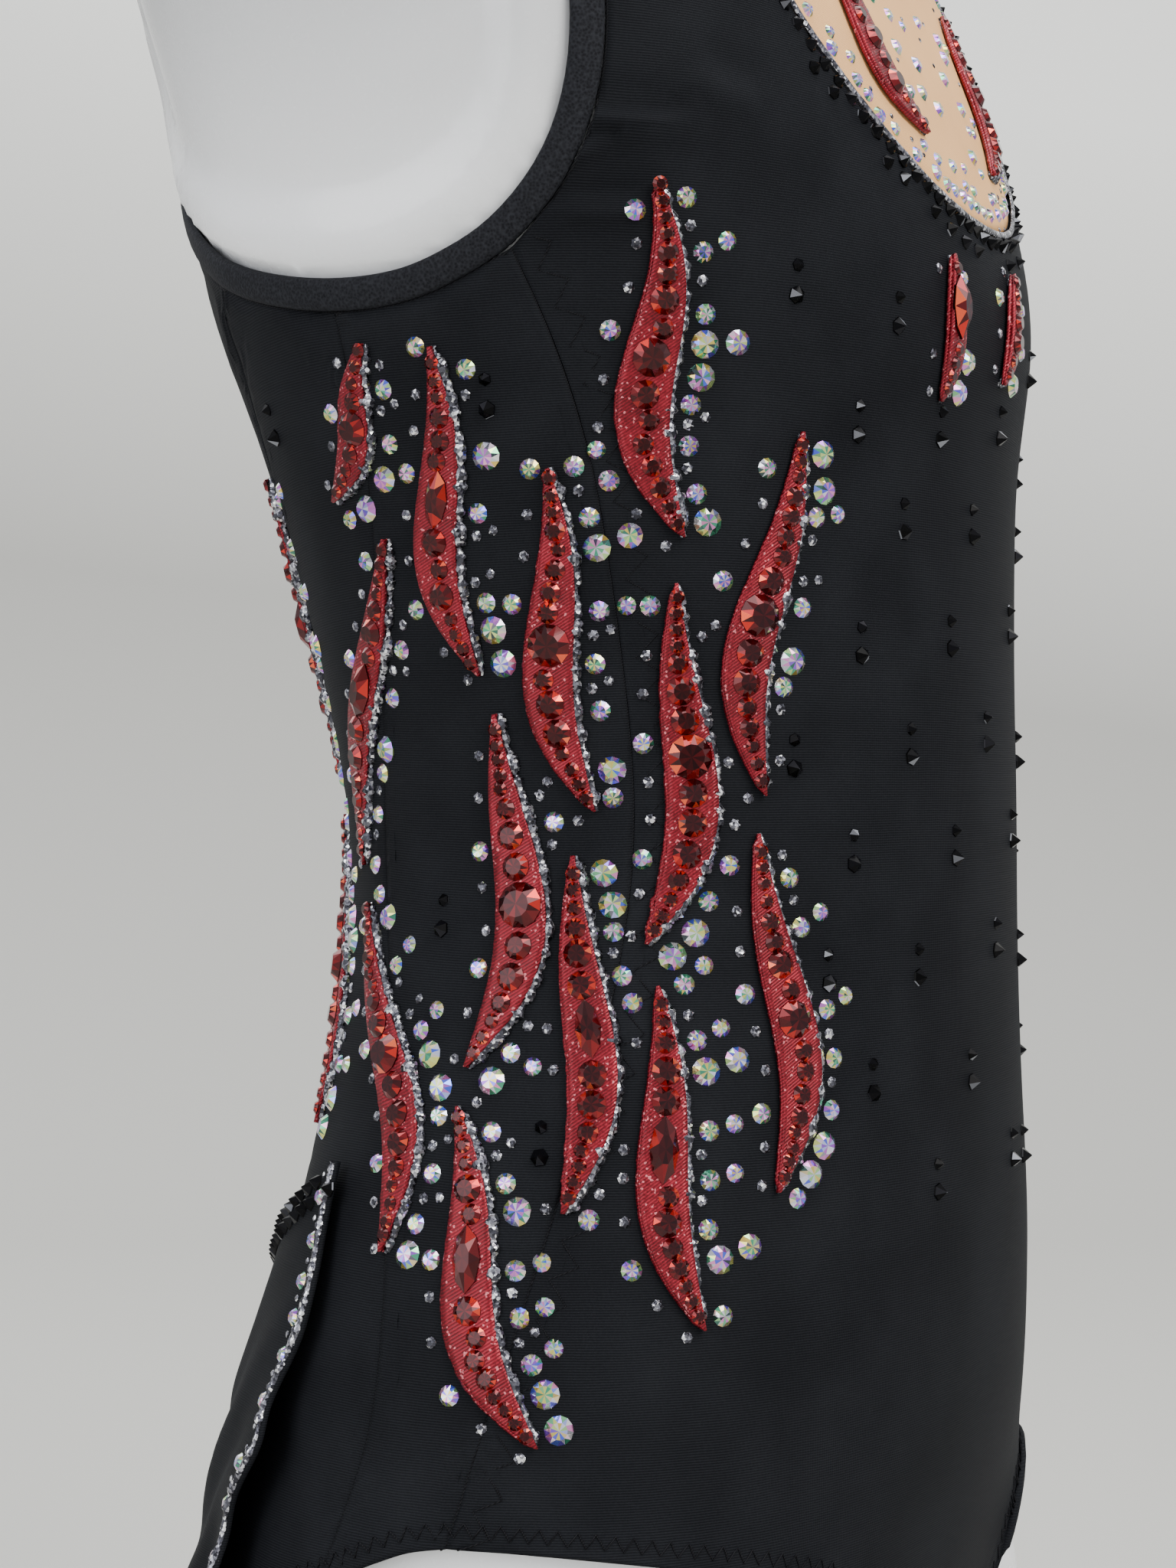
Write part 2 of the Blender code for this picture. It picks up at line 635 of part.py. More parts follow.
def side_panel(name, top, near, far, edges, leg_from, leg_to):
    """A panel under the arm, from the armhole to the leg, between two seams."""
    near_edge, far_edge = edges[near], edges[far]
    grid = panel_grid(near_edge, far_edge, COLUMNS_SIDE, SEAM_HALF_GAP, SEAM_HALF_GAP, top=edges[top])
    for row in (0, 1, 2):
        for column, inner in ((0, 1), (-1, -2)):
            way = grid[row, inner] - grid[row, column]
            grid[row, column] += way / np.linalg.norm(way) * SEAM_HALF_GAP
    bottom = leg_edge(leg_from, leg_to, COLUMNS_SIDE + 1)
    change = bottom - grid[-1]
    change[[0, -1]] = 0
    for back in range(4):
        grid[-1 - back] += change * (1 - back / 4) ** 2
    last_row = grid[-2] - grid[-1]
    share = HEM_DEPTH / np.linalg.norm(last_row, axis=1, keepdims=True)
    hem_row = grid[-1] + last_row * np.minimum(share, 0.8)
    grid = to_surface(np.concatenate([grid[:-1], hem_row[None], grid[-1:]]))
    rows, columns = grid.shape[:2]
    points = grid.reshape(-1, 3)
    both_sides(name, points, grid_faces(rows, columns), bottom_lift(rows, columns), "black_knit")


def back_panel(edges):
    centre = centre_line(NECK_EDGE[-1][1], False, ROWS_ARMHOLE + ROWS_BODY + ROWS_LEG + 1)
    hem = leg_edge(BACK_AT_LEG, -180, ROWS_LEG + 1)
    side_b = np.concatenate([edges["arm_back"][::-1], edges["back"][1:], hem[1:]])
    shoulder = edge(((90, NECK_EDGE[3][1]), (90, ARMHOLE_FRONT[0][1])), 3)
    top = np.concatenate([edges["neck_back"][::-1], shoulder[1:]])
    grid = panel_grid(centre, side_b, COLUMNS_BACK, 0, SEAM_HALF_GAP, top=top, blend=7, margin=HEM_DEPTH)
    shift_row(grid, 0, 1)
    shift_row(grid, -1, -2)
    grid[:, 0, 0] = 0
    rows, columns = grid.shape[:2]
    faces = grid_faces(rows, columns)
    lift = hem_lift(rows, columns, ROWS_ARMHOLE + ROWS_BODY)
    points, faces, lift = mirrored(grid.reshape(-1, 3), faces, lift)
    cloth_wall("back_panel", points, faces, lift, "black_knit")


def nude_yoke(edges):
    low, high = edges["neckline"][::-1], edges["neck_front"]
    grid = panel_grid(low, high, ROWS_YOKE, SEAM_HALF_GAP, 0)
    grid[0, :, 0] = 0
    shift_row(grid, -1, -2)
    rows, columns = grid.shape[:2]
    points, faces, lift = mirrored(grid.reshape(-1, 3), grid_faces(rows, columns), np.zeros(rows * columns))
    cloth_wall("nude_yoke", points, faces, lift, "nude_mesh")


def bindings(edges):
    loop = [edges["arm_front"], edges["arm_under_front"], edges["arm_under_back"], edges["arm_back"]]
    loop = np.concatenate([part[:-1] for part in loop])
    band("armhole_binding_right", loop, BINDING_PROFILE, "black_binding")
    band("armhole_binding_left", loop[::-1] * np.array([-1, 1, 1]), BINDING_PROFILE, "black_binding")
    half = np.concatenate([edges["neck_front"], edges["neck_back"][1:]])
    flipped = half[-2:0:-1] * np.array([-1, 1, 1])
    band("neck_binding", np.concatenate([half, flipped]), NECK_BINDING_PROFILE, "black_binding")
    right = edges["neckline"]
    left = right[-2::-1] * np.array([-1, 1, 1])
    curve = np.concatenate([right, left])
    curve[0] += (curve[1] - curve[0]) * CORD_SHORTER
    curve[-1] += (curve[-2] - curve[-1]) * CORD_SHORTER
    band("neckline_cord", curve, CORD_PROFILE, "silver_glitter", closed=False)


def back_skirt():
    """A short skirt over the back, sewn on along its top edge and free at its wavy sides."""
    down = np.linspace(0, 1, SKIRT_ROWS + 1)
    over = np.linspace(0, 1, SKIRT_COLUMNS + 1)
    side = smooth_table(SKIRT_EDGE, SKIRT_ROWS + 1)
    middle = SKIRT_CENTRE_TOP + (SKIRT_CENTRE_BOTTOM - SKIRT_CENTRE_TOP) * down
    angle = side[:, :1] + (180 - side[:, :1]) * over
    height = side[:, 1:] + (middle[:, None] - side[:, 1:]) * over
    seat = np.maximum(height, SEAT_LEVEL + SEAT_HOLD * (height - SEAT_LEVEL))
    ring = round_the_body(angle, seat)
    ring[..., 2] = height
    out = normals_at(round_the_body(angle, seat))
    out[..., 2] = 0
    out /= np.linalg.norm(out, axis=-1, keepdims=True)
    wave = np.cos(over * math.pi * SKIRT_WAVES)[None, :] * down[:, None] ** SKIRT_CURVE
    stand = CLEARANCE + CLOTH_WALL + LAID_ON + SKIRT_STAND + SKIRT_WAVE * wave
    stand = stand + SKIRT_FLARE * down[:, None] ** SKIRT_CURVE
    inner = ring + out * stand[..., None]
    outer = inner + out * CLOTH_WALL
    inner[:, -1, 0] = 0
    outer[:, -1, 0] = 0
    rows, columns = inner.shape[:2]
    faces = grid_faces(rows, columns)
    flat = np.zeros(rows * columns)
    below, both, _ = mirrored(inner.reshape(-1, 3), faces, flat)
    above, _, _ = mirrored(outer.reshape(-1, 3), faces, flat)
    close_wall("back_skirt", below, above, both, len(below), "black_knit")


def leaf(name, row, side):
    """A pointed leaf laid on the panels along a line bent one way and then the other."""
    start_angle, start_height, end_angle, end_height, half_width, bend = row
    share = np.linspace(0, 1, LEAF_STEPS + 1)
    angles = start_angle + (end_angle - start_angle) * share
    heights = start_height + (end_height - start_height) * share
    spine = to_surface(round_the_body(angles * side, heights))
    chord = np.linalg.norm(spine[-1] - spine[0])
    ahead = np.gradient(spine, axis=0)
    ahead /= np.linalg.norm(ahead, axis=1, keepdims=True)
    cross = np.cross(ahead, normals_at(spine))
    sway = np.sin(math.pi * share) + LEAF_SWAY * np.sin(2 * math.pi * share)
    spine = to_surface(spine + cross * (side * bend * chord * sway)[:, None])
    width = half_width * np.sin(math.pi * share**LEAF_BELLY) ** LEAF_ROUNDNESS
    width[0] = width[-1] = LEAF_TIP
    grid = np.stack([to_surface(spine + cross * (width * k)[:, None]) for k in (-1, 0, 1)], 1)
    rows, columns = grid.shape[:2]
    cloth_wall(
        name,
        grid.reshape(-1, 3),
        grid_faces(rows, columns),
        np.zeros(rows * columns),
        "red_foil",
        base=CLOTH_WALL + LAID_ON,
        wall=APPLIQUE_WALL,
    )


def leaves():
    for number, row in enumerate(LEAVES_RIGHT, 1):
        leaf(f"leaf_right_{number}", row, 1)
    for number, row in enumerate(LEAVES_LEFT, 1):
        leaf(f"leaf_left_{number}", row, -1)
    for number, row in enumerate(LEAVES_YOKE, 1):
        leaf(f"leaf_yoke_{number}", row, 1)
    for number, row in enumerate(LEAVES_FRONT, 1):
        leaf(f"leaf_front_{number}", row, 1)


def centre_on_origin():
    """Moves the finished model so that the origin is on the floor under the middle of its box."""
    meshes = [item.data for item in bpy.data.objects if item.type == "MESH"]
    corners = np.array([vertex.co for mesh in meshes for vertex in mesh.vertices])
    middle = (corners.min(0) + corners.max(0)) / 2
    for mesh in meshes:
        for vertex in mesh.vertices:
            vertex.co.x -= middle[0]
            vertex.co.y -= middle[1]


def build():
    clear_scene()
    torso_form()
    edges = seam_edges()
    front_panel(edges)
    side_panel("side_panel", "arm_under_front", "princess", "side", edges, PRINCESS_AT_LEG, SIDE_AT_LEG)
    side_panel("side_back_panel", "arm_under_back", "side", "back", edges, SIDE_AT_LEG, BACK_AT_LEG)
    back_panel(edges)
    nude_yoke(edges)
    bindings(edges)
    back_skirt()
    leaves()
    centre_on_origin()


build()
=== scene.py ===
import math
import random

import bmesh
import bpy
from mathutils import Matrix, Vector, noise
from mathutils.bvhtree import BVHTree
from mathutils.kdtree import KDTree


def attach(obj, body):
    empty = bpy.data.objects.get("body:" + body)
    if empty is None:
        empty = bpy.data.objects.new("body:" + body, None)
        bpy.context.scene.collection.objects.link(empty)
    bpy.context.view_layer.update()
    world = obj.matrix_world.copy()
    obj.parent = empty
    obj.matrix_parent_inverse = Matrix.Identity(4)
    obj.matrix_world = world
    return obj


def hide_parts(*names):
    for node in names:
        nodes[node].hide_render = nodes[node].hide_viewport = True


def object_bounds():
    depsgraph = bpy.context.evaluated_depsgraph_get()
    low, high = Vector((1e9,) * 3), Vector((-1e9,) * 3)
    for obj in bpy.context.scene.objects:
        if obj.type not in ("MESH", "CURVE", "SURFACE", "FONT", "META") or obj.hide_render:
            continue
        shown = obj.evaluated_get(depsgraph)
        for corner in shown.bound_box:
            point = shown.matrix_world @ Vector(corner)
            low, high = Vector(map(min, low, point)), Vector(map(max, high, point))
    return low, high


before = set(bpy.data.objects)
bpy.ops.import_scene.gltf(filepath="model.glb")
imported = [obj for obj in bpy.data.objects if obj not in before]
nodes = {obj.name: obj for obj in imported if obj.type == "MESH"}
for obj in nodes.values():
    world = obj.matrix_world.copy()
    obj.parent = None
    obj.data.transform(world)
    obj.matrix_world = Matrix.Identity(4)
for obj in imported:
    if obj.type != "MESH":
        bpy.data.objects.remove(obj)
cadBox = [list(corner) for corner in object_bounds()]
dice = random.Random(7)
mm = 0.001
bodyMiddle = -1.63 * mm  # depth of the upright line that angles are counted round
sides = {"right": -1, "left": 1}
seamReach = 1.6 * mm  # along a seam, the rims of two panels are closer than this
middleSlack = 0.5 * mm  # a side's runs may stop or start this far from the body's middle


# shader maths on sockets

class wire:
    def __init__(self, paint, socket):
        self.paint = paint
        self.socket = socket

    def maths(self, operation, *values):
        inputs = dict(enumerate(values))
        return self.paint.node("ShaderNodeMath", {"operation": operation}, inputs)

    def __add__(self, other):
        return self.maths("ADD", self, other)

    def __radd__(self, other):
        return self.maths("ADD", other, self)

    def __sub__(self, other):
        return self.maths("SUBTRACT", self, other)

    def __rsub__(self, other):
        return self.maths("SUBTRACT", other, self)

    def __mul__(self, other):
        return self.maths("MULTIPLY", self, other)

    def __rmul__(self, other):
        return self.maths("MULTIPLY", other, self)

    def __truediv__(self, other):
        return self.maths("DIVIDE", self, other)

    def __pow__(self, other):
        return self.maths("POWER", self, other)

    def sine(self):
        return self.maths("SINE", self)

    def waves(self, pitch):
        return (self * (2 * math.pi / pitch)).sine()

    def over(self, level):
        return self.maths("GREATER_THAN", self, level)


class paint:
    def __init__(self, name, roughness, metallic=0.0, **fixed):
        self.material = bpy.data.materials.new(name)
        self.material.use_nodes = True
        self.tree = self.material.node_tree
        self.shader = self.tree.nodes["Principled BSDF"]
        self.shader.inputs["Roughness"].default_value = roughness
        self.shader.inputs["Metallic"].default_value = metallic
        for label, value in fixed.items():
            self.shader.inputs[label.replace("_", " ")].default_value = value

    def node(self, kind, settings=None, inputs=None, output=0):
        made = self.tree.nodes.new(kind)
        for label, value in (settings or {}).items():
            if label == "stops":
                ramp = made.color_ramp
                while len(ramp.elements) < len(value):
                    ramp.elements.new(0.5)
                for element, (place, colour) in zip(ramp.elements, value):
                    element.position = place
                    element.color = (*colour, 1)
            else:
                setattr(made, label, value)
        for label, value in (inputs or {}).items():
            if isinstance(value, wire):
                self.tree.links.new(value.socket, made.inputs[label])
            else:
                made.inputs[label].default_value = value
        return wire(self, made.outputs[output])

    def place(self):
        return self.node("ShaderNodeTexCoord", output="Object")

    def turned(self, turn):
        return self.node("ShaderNodeMapping", None, {"Vector": self.place(), "Rotation": turn})

    def axis(self, vector, letter):
        return self.node("ShaderNodeSeparateXYZ", None, {0: vector}, letter)

    def clouds(self, scale, detail=2.0, vector=None):
        inputs = {"Vector": vector or self.place(), "Scale": scale, "Detail": detail}
        return self.node("ShaderNodeTexNoise", None, inputs, "Fac")

    def cells(self, scale, output, vector=None):
        inputs = {"Vector": vector or self.place(), "Scale": scale}
        return self.node("ShaderNodeTexVoronoi", None, inputs, output)

    def ramp(self, factor, stops):
        return self.node("ShaderNodeValToRGB", {"stops": stops}, {"Fac": factor}, "Color")

    def mix(self, factor, first, second, blend="MIX"):
        settings = {"data_type": "RGBA", "blend_type": blend}
        inputs = {0: factor, 6: first, 7: second}
        return self.node("ShaderNodeMix", settings, inputs, 2)

    def attribute(self, name, output="Fac"):
        return self.node("ShaderNodeAttribute", {"attribute_name": name}, None, output)

    def bump(self, height, distance, strength=1.0, normal=None):
        inputs = {"Height": height, "Distance": distance, "Strength": strength}
        if normal:
            inputs["Normal"] = normal
        return self.node("ShaderNodeBump", None, inputs)

    def set(self, label, value):
        self.tree.links.new(value.socket, self.shader.inputs[label])


def solid(r, g, b):
    return (r, g, b, 1)


# finishes

knit = {
    "dark": (0.0058, 0.0062, 0.0076),
    "light": (0.0165, 0.0176, 0.0205),
    "rowHeight": 0.55 * mm,
    "waleWidth": 0.42 * mm,
    "wobble": 0.6 * mm,
    "wobbleScale": 60,
    "cloudScale": 38,
    "fibreScale": 2600,
    "relief": 0.05 * mm,
}


def blackKnit(name, lean=0.0):
    made = paint(name, 0.6, Specular_IOR_Level=0.03)
    spot = made.turned((0, lean, 0))
    height = made.axis(spot, "Z")
    wobble = made.clouds(knit["wobbleScale"]) * knit["wobble"]
    rows = (height + wobble).waves(knit["rowHeight"])
    around = made.axis(spot, "X") + made.axis(spot, "Y") * 0.7
    wales = around.waves(knit["waleWidth"])
    cloudy = made.clouds(knit["cloudScale"], 3)
    fibre = made.clouds(knit["fibreScale"], 2)
    tone = cloudy * 0.5 + rows * 0.14 + fibre * 0.35
    made.set("Base Color", made.ramp(tone, [(0.25, knit["dark"]), (0.75, knit["light"])]))
    made.set("Roughness", 0.5 + cloudy * 0.14 + fibre * 0.08)
    grain = made.bump(rows + wales * 0.35 + fibre * 0.8, knit["relief"], 0.55)
    made.set("Normal", grain)
    return made.material


tapeLook = {
    "stops": [(0.2, (0.003, 0.003, 0.004)), (0.8, (0.020, 0.021, 0.025))],
    "weaveScale": 1500, "fibreScale": 1800, "relief": 0.14 * mm,
}


def dullTape(name):
    made = paint(name, 0.72, Specular_IOR_Level=0.08)
    weave = made.cells(tapeLook["weaveScale"], "Distance")
    fibre = made.clouds(tapeLook["fibreScale"], 3)
    tone = weave * 0.6 + fibre * 0.5
    made.set("Base Color", made.ramp(tone, tapeLook["stops"]))
    made.set("Roughness", 0.6 + fibre * 0.25)
    made.set("Normal", made.bump(tone, tapeLook["relief"], 0.8))
    return made.material


netLook = {
    "stops": [(0.15, (0.62, 0.33, 0.14)), (0.8, (0.86, 0.50, 0.22))],
    "mesh": 0.75 * mm, "cloudScale": 45, "relief": 0.09 * mm,
}


def nudeNet(name):
    made = paint(name, 0.6, Specular_IOR_Level=0.03)
    spot = made.place()
    one = made.axis(spot, "X") + made.axis(spot, "Z")
    two = made.axis(spot, "X") - made.axis(spot, "Z")
    weave = one.waves(netLook["mesh"]) * two.waves(netLook["mesh"])
    holes = weave * 0.5 + 0.5
    cloudy = made.clouds(netLook["cloudScale"], 2)
    tone = holes * 0.6 + cloudy * 0.4
    made.set("Base Color", made.ramp(tone, netLook["stops"]))
    made.set("Roughness", 0.45 + cloudy * 0.2)
    made.set("Normal", made.bump(holes, netLook["relief"], 0.5))
    return made.material


foilLook = {
    "stops": [(0.1, (0.07, 0.001, 0.004)), (0.5, (0.22, 0.004, 0.013)), (0.95, (0.46, 0.025, 0.048))],
    "spark": (0.62, 0.17, 0.19), "sparkFrom": 0.955, "sparkScale": 2300, "cloudScale": 120,
    "lean": (0.5, 0.35, 0), "ribs": 0.62 * mm, "relief": 0.07 * mm,
}


def redFoil(name):
    made = paint(name, 0.34, 0.6, Specular_IOR_Level=0.6)
    ribs = made.axis(made.turned(foilLook["lean"]), "Z").waves(foilLook["ribs"])
    spark = made.axis(made.cells(foilLook["sparkScale"], "Color"), "X")
    cloudy = made.clouds(foilLook["cloudScale"], 2)
    tone = ribs * 0.16 + cloudy * 0.6 + spark * 0.25
    red = made.ramp(tone, foilLook["stops"])
    pink = made.mix(spark.over(foilLook["sparkFrom"]), red, solid(*foilLook["spark"]))
    made.set("Base Color", pink)
    made.set("Roughness", 0.28 + spark * 0.25)
    made.set("Normal", made.bump(ribs * 0.6 + spark, foilLook["relief"], 0.7))
    return made.material


glitterLook = {
    "stops": [
        (0.0, (0.02, 0.02, 0.025)), (0.5, (0.10, 0.10, 0.12)),
        (0.8, (0.34, 0.34, 0.38)), (1.0, (1.0, 1.0, 1.0)),
    ],
    "grainScale": 1350, "relief": 0.3 * mm,
}


def glitter(name):
    made = paint(name, 0.28, 0.92)
    grains = glitterLook["grainScale"]
    fleck = made.cells(grains, "Color")
    shade = made.axis(fleck, "X")
    tilt = made.axis(fleck, "Y")
    made.set("Base Color", made.ramp(shade, glitterLook["stops"]))
    made.set("Roughness", 0.12 + tilt * 0.4)
    height = tilt + made.cells(grains, "Distance") * 0.6
    made.set("Normal", made.bump(height, glitterLook["relief"], 0.9))
    return made.material


formLook = {
    # painted shade: the form darkens above the armholes towards its shoulders, as if in shade there
    "stops": [(0.2, (0.50, 0.505, 0.51)), (0.8, (0.86, 0.865, 0.875))],
    "shadeHeight": 0.545, "shadeFade": 10.0, "cloudScale": 9, "grainScale": 420, "relief": 0.25 * mm,
}


def whiteForm(name):
    made = paint(name, 0.24, Coat_Weight=0.35, Coat_Roughness=0.12)
    cloudy = made.clouds(formLook["cloudScale"], 2)
    grain = made.clouds(formLook["grainScale"], 2)
    height = made.axis(made.place(), "Z")
    # painted shade: the colour darkens with height towards the shoulders, over a little random cloudy tone
    tone = cloudy * 0.2 + (formLook["shadeHeight"] - height) * formLook["shadeFade"]
    made.set("Base Color", made.ramp(tone, formLook["stops"]))
    made.set("Roughness", 0.2 + grain * 0.12)
    made.set("Normal", made.bump(cloudy * 3 + grain * 0.25, formLook["relief"], 0.35))
    return made.material


threadLook = {
    "stops": [(0.0, (0.002, 0.002, 0.003)), (1.0, (0.012, 0.012, 0.014))],
    "lean": (0.7, 0.5, 0), "twist": 0.5 * mm, "relief": 0.05 * mm,
}


def thread(name):
    made = paint(name, 0.7, Specular_IOR_Level=0.1)
    twist = made.axis(made.turned(threadLook["lean"]), "Z").waves(threadLook["twist"])
    made.set("Base Color", made.ramp(twist * 0.5 + 0.5, threadLook["stops"]))
    made.set("Normal", made.bump(twist, threadLook["relief"], 0.6))
    return made.material


def facet(name, stops, metallic, roughness, **fixed):
    # every facet has a shade of its own, and the colour it picks paints that facet's reflection, light on
    # some facets and dark on others
    made = paint(name, roughness, metallic, **fixed)
    shade = made.attribute("shade")
    made.set("Base Color", made.ramp(shade, stops))
    made.set("Roughness", roughness + shade * 0.08)
    return made.material


# the aurora coating's own tints, with dark and pale stops as painted dark facets and painted reflections
auroraTintsAndPaintedLight = [
    (0.0, (0.04, 0.05, 0.06)), (0.12, (0.08, 0.42, 0.24)), (0.24, (0.58, 0.74, 0.26)),
    (0.36, (0.70, 0.50, 0.10)), (0.48, (0.78, 0.78, 0.84)), (0.60, (0.06, 0.14, 0.74)),
    (0.72, (0.36, 0.10, 0.56)), (0.84, (0.80, 0.30, 0.50)), (0.93, (0.74, 0.78, 0.84)),
    (1.0, (0.06, 0.05, 0.09)),
]
# the stone's own red, running from dark to bright orange as painted shade and painted flashes of reflected
# light across its facets
siamRedAndPaintedLight = [
    (0.0, (0.018, 0.0, 0.001)), (0.4, (0.055, 0.001, 0.002)), (0.72, (0.19, 0.003, 0.006)),
    (0.9, (0.62, 0.022, 0.010)), (1.0, (1.0, 0.17, 0.06)),
]
# black jet, with grey at the top of the ramp as painted glints on a few facets
jetWithPaintedGlints = [
    (0.0, (0.001, 0.001, 0.001)), (0.85, (0.003, 0.003, 0.004)),
    (0.95, (0.02, 0.02, 0.024)), (1.0, (0.30, 0.31, 0.34)),
]

finishes = {
    "knitFront": blackKnit("knitFront"),
    "knitSide": blackKnit("knitSide", 0.09),
    "knitBack": blackKnit("knitBack", -0.06),
    "tape": dullTape("tape"),
    "net": nudeNet("net"),
    "foil": redFoil("foil"),
    "silver": glitter("silver"),
    "form": whiteForm("form"),
    "thread": thread("thread"),
    "aurora": facet("aurora", auroraTintsAndPaintedLight, 0.8, 0.06, Coat_Weight=0.3, Coat_Roughness=0.02),
    "siam": facet("siam", siamRedAndPaintedLight, 0.75, 0.07, Coat_Weight=0.35, Coat_Roughness=0.02),
    "jet": facet("jet", jetWithPaintedGlints, 0.0, 0.16, Specular_IOR_Level=0.06),
}
print("finishes made:", len(finishes))


# smooth shells over the CAD nodes

joining = {"distance": 0.002 * mm, "faceAngle": math.radians(30), "shapeAngle": math.radians(60)}


def softened(name):
    # a merged copy of a node's mesh, its triangles joined to quads
    work = bmesh.new()
    work.from_mesh(nodes[name].data)
    bmesh.ops.remove_doubles(work, verts=work.verts, dist=joining["distance"])
    bmesh.ops.join_triangles(
        work, faces=work.faces,
        angle_face_threshold=joining["faceAngle"], angle_shape_threshold=joining["shapeAngle"],
    )
    bmesh.ops.recalc_face_normals(work, faces=work.faces)
    work.normal_update()
    return work


def linked(name, data):
    made = bpy.data.objects.new(name, data)
    bpy.context.scene.collection.objects.link(made)
    return made


def addPiece(work, name, finish, slot, *replaced):
    mesh = bpy.data.meshes.new(name)
    work.to_mesh(mesh)
    work.free()
    return addMesh(mesh, name, finish, slot, *replaced)


def addMesh(mesh, name, finish, slot, *replaced):
    for polygon in mesh.polygons:
        polygon.use_smooth = True
    mesh.materials.clear()
    mesh.materials.append(finishes[finish])
    piece = linked(name, mesh)
    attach(piece, "root")
    if replaced:
        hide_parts(*replaced)
    return piece


def subdivided(work, levels):
    # the mesh after a Subdivision Surface modifier
    mesh = bpy.data.meshes.new("rough")
    work.to_mesh(mesh)
    work.free()
    holder = linked("rough", mesh)
    smoother = holder.modifiers.new("smooth", "SUBSURF")
    smoother.levels = smoother.render_levels = levels
    smoother.boundary_smooth = "PRESERVE_CORNERS"
    ready = holder.evaluated_get(bpy.context.evaluated_depsgraph_get())
    result = bmesh.new()
    result.from_mesh(ready.to_mesh())
    ready.to_mesh_clear()
    bpy.data.objects.remove(holder, do_unlink=True)
    bpy.data.meshes.remove(mesh)
    return result


def creaseRims(work, angle, keep=None):
    layers = work.edges.layers.float
    layer = layers.get("crease_edge") or layers.new("crease_edge")
    for edge in work.edges:
        if len(edge.link_faces) == 2 and edge.calc_face_angle(0) > math.radians(angle):
            if keep is None or keep(edge):
                edge[layer] = 1.0


formTop = cadBox[1][2]
# edges and corners that turn by more degrees than this stay sharp
formCrease = 50
tapeCrease = 75
cornerCrease = 36


def onEnd(edge):
    # an edge of the floor faces or of the neck's flat top
    heights = [vert.co.z for vert in edge.verts]
    return max(heights) < mm or min(heights) > formTop - mm


def pointTree(points):
    tree = KDTree(len(points))
    for index, point in enumerate(points):
        tree.insert(point, index)
    tree.balance()
    return tree


formCopy = softened("torso_form")
creaseRims(formCopy, formCrease, onEnd)
formMesh = subdivided(formCopy, 2)
formTree = BVHTree.FromBMesh(formMesh)
formPiece = addPiece(formMesh, "torsoForm", "form", "white_gloss", "torso_form")

clothTable = (
    # node, finish, slot, width and length of the flat piece, its area
    ("front_panel", "knitFront", "black_knit", 0.42, 0.62, 0.092),
    ("side_panel_right", "knitSide", "black_knit", 0.075, 0.27, 0.0126),
    ("side_panel_left", "knitSide", "black_knit", 0.075, 0.27, 0.0126),
    ("side_back_panel_right", "knitBack", "black_knit", 0.085, 0.27, 0.0152),
    ("side_back_panel_left", "knitBack", "black_knit", 0.085, 0.27, 0.0152),
    ("back_panel", "knitBack", "black_knit", 0.36, 0.66, 0.091),
    ("nude_yoke", "net", "nude_mesh", 0.24, 0.15, 0.0194),
)
cloth = {
    name: {"finish": finish, "slot": slot, "flat": (wide, long), "area": area}
    for name, finish, slot, wide, long, area in clothTable
}
clothWall = 1.1 * mm
wallReach = {"near": 0.9 * mm, "far": 2.1 * mm, "upright": 0.75}


def outerLayer(name):
    # only the faces between a wall's outer points, which have an inner point close below them
    work = softened(name)
    tree = pointTree([vert.co for vert in work.verts])
    outer = set()
    for vert in work.verts:
        away = (vert.co - formTree.find_nearest(vert.co)[0]).normalized()
        for spot, index, distance in tree.find_range(vert.co, wallReach["far"]):
            rise = (vert.co - spot).dot(away)
            if distance > wallReach["near"] and rise > wallReach["upright"] * distance:
                outer.add(vert)
    inner = [face for face in work.faces if any(vert not in outer for vert in face.verts)]
    bmesh.ops.delete(work, geom=inner, context="FACES")
    return work


def creaseCorners(work):
    # the corners of a panel stay sharp, so that its neighbours still meet them
    layers = work.verts.layers.float
    layer = layers.get("crease_vert") or layers.new("crease_vert")
    for vert in work.verts:
        rim = [edge.other_vert(vert).co - vert.co for edge in vert.link_edges if edge.is_boundary]
        if len(rim) == 2 and rim[0].angle(-rim[1]) > math.radians(cornerCrease):
            vert[layer] = 1.0
    return work


def rimPoints(work):
    found = []
    for edge in work.edges:
        if edge.is_boundary:
            one, two = (vert.co for vert in edge.verts)
            found += [one.lerp(two, share) for share in (0, 0.25, 0.5, 0.75)]
    return found


shells = {name: subdivided(creaseCorners(outerLayer(name)), 2) for name in cloth}
rims = {name: rimPoints(work) for name, work in shells.items()}


def seamTree(name):
    # points of a panel's rim that lie along another panel
    others = pointTree([point for other in rims if other != name for point in rims[other]])
    return pointTree([point for point in rims[name] if others.find(point)[2] < seamReach])


pucker = {
    "sink": 0.42 * mm, "reach": 2.4 * mm, "ripple": 0.30 * mm, "rippleReach": 6.5 * mm, "pitch": 5.2 * mm,
    "calm": 0.8 * mm, "slantX": 0.7, "slantY": 0.3, "wander": 1.4, "wanderScale": 160,
    "swell": 0.3 * mm, "swellScale": 26,
}
foldLook = {"perDegree": 1.75, "overrun": 0.2, "dip": 0.6, "dipOff": 1.6, "least": 0.12 * mm}
foldTable = (
    # start angle, start height, end angle, end height, depth, width in mm
    (75, 490, 60, 489, 2.2, 2.3),
    (79, 476, 69, 484, 2.0, 2.4),
    (74, 470, 63, 471, 1.2, 2.6),
    (50, 446.5, 42, 446.5, 0.6, 5.0),
    (60, 500, 52, 494, 1.2, 4.5),
    (112, 458, 100, 440, 0.6, 5.0),
    (120, 462, 132, 448, 0.6, 5.0),
    (66, 218, 84, 203, 0.5, 5.0),
)


def angleOf(point):
    # the angle round the body in degrees, 0 in front and 90 on the wearer's right
    return math.degrees(math.atan2(-point.x, bodyMiddle - point.y))


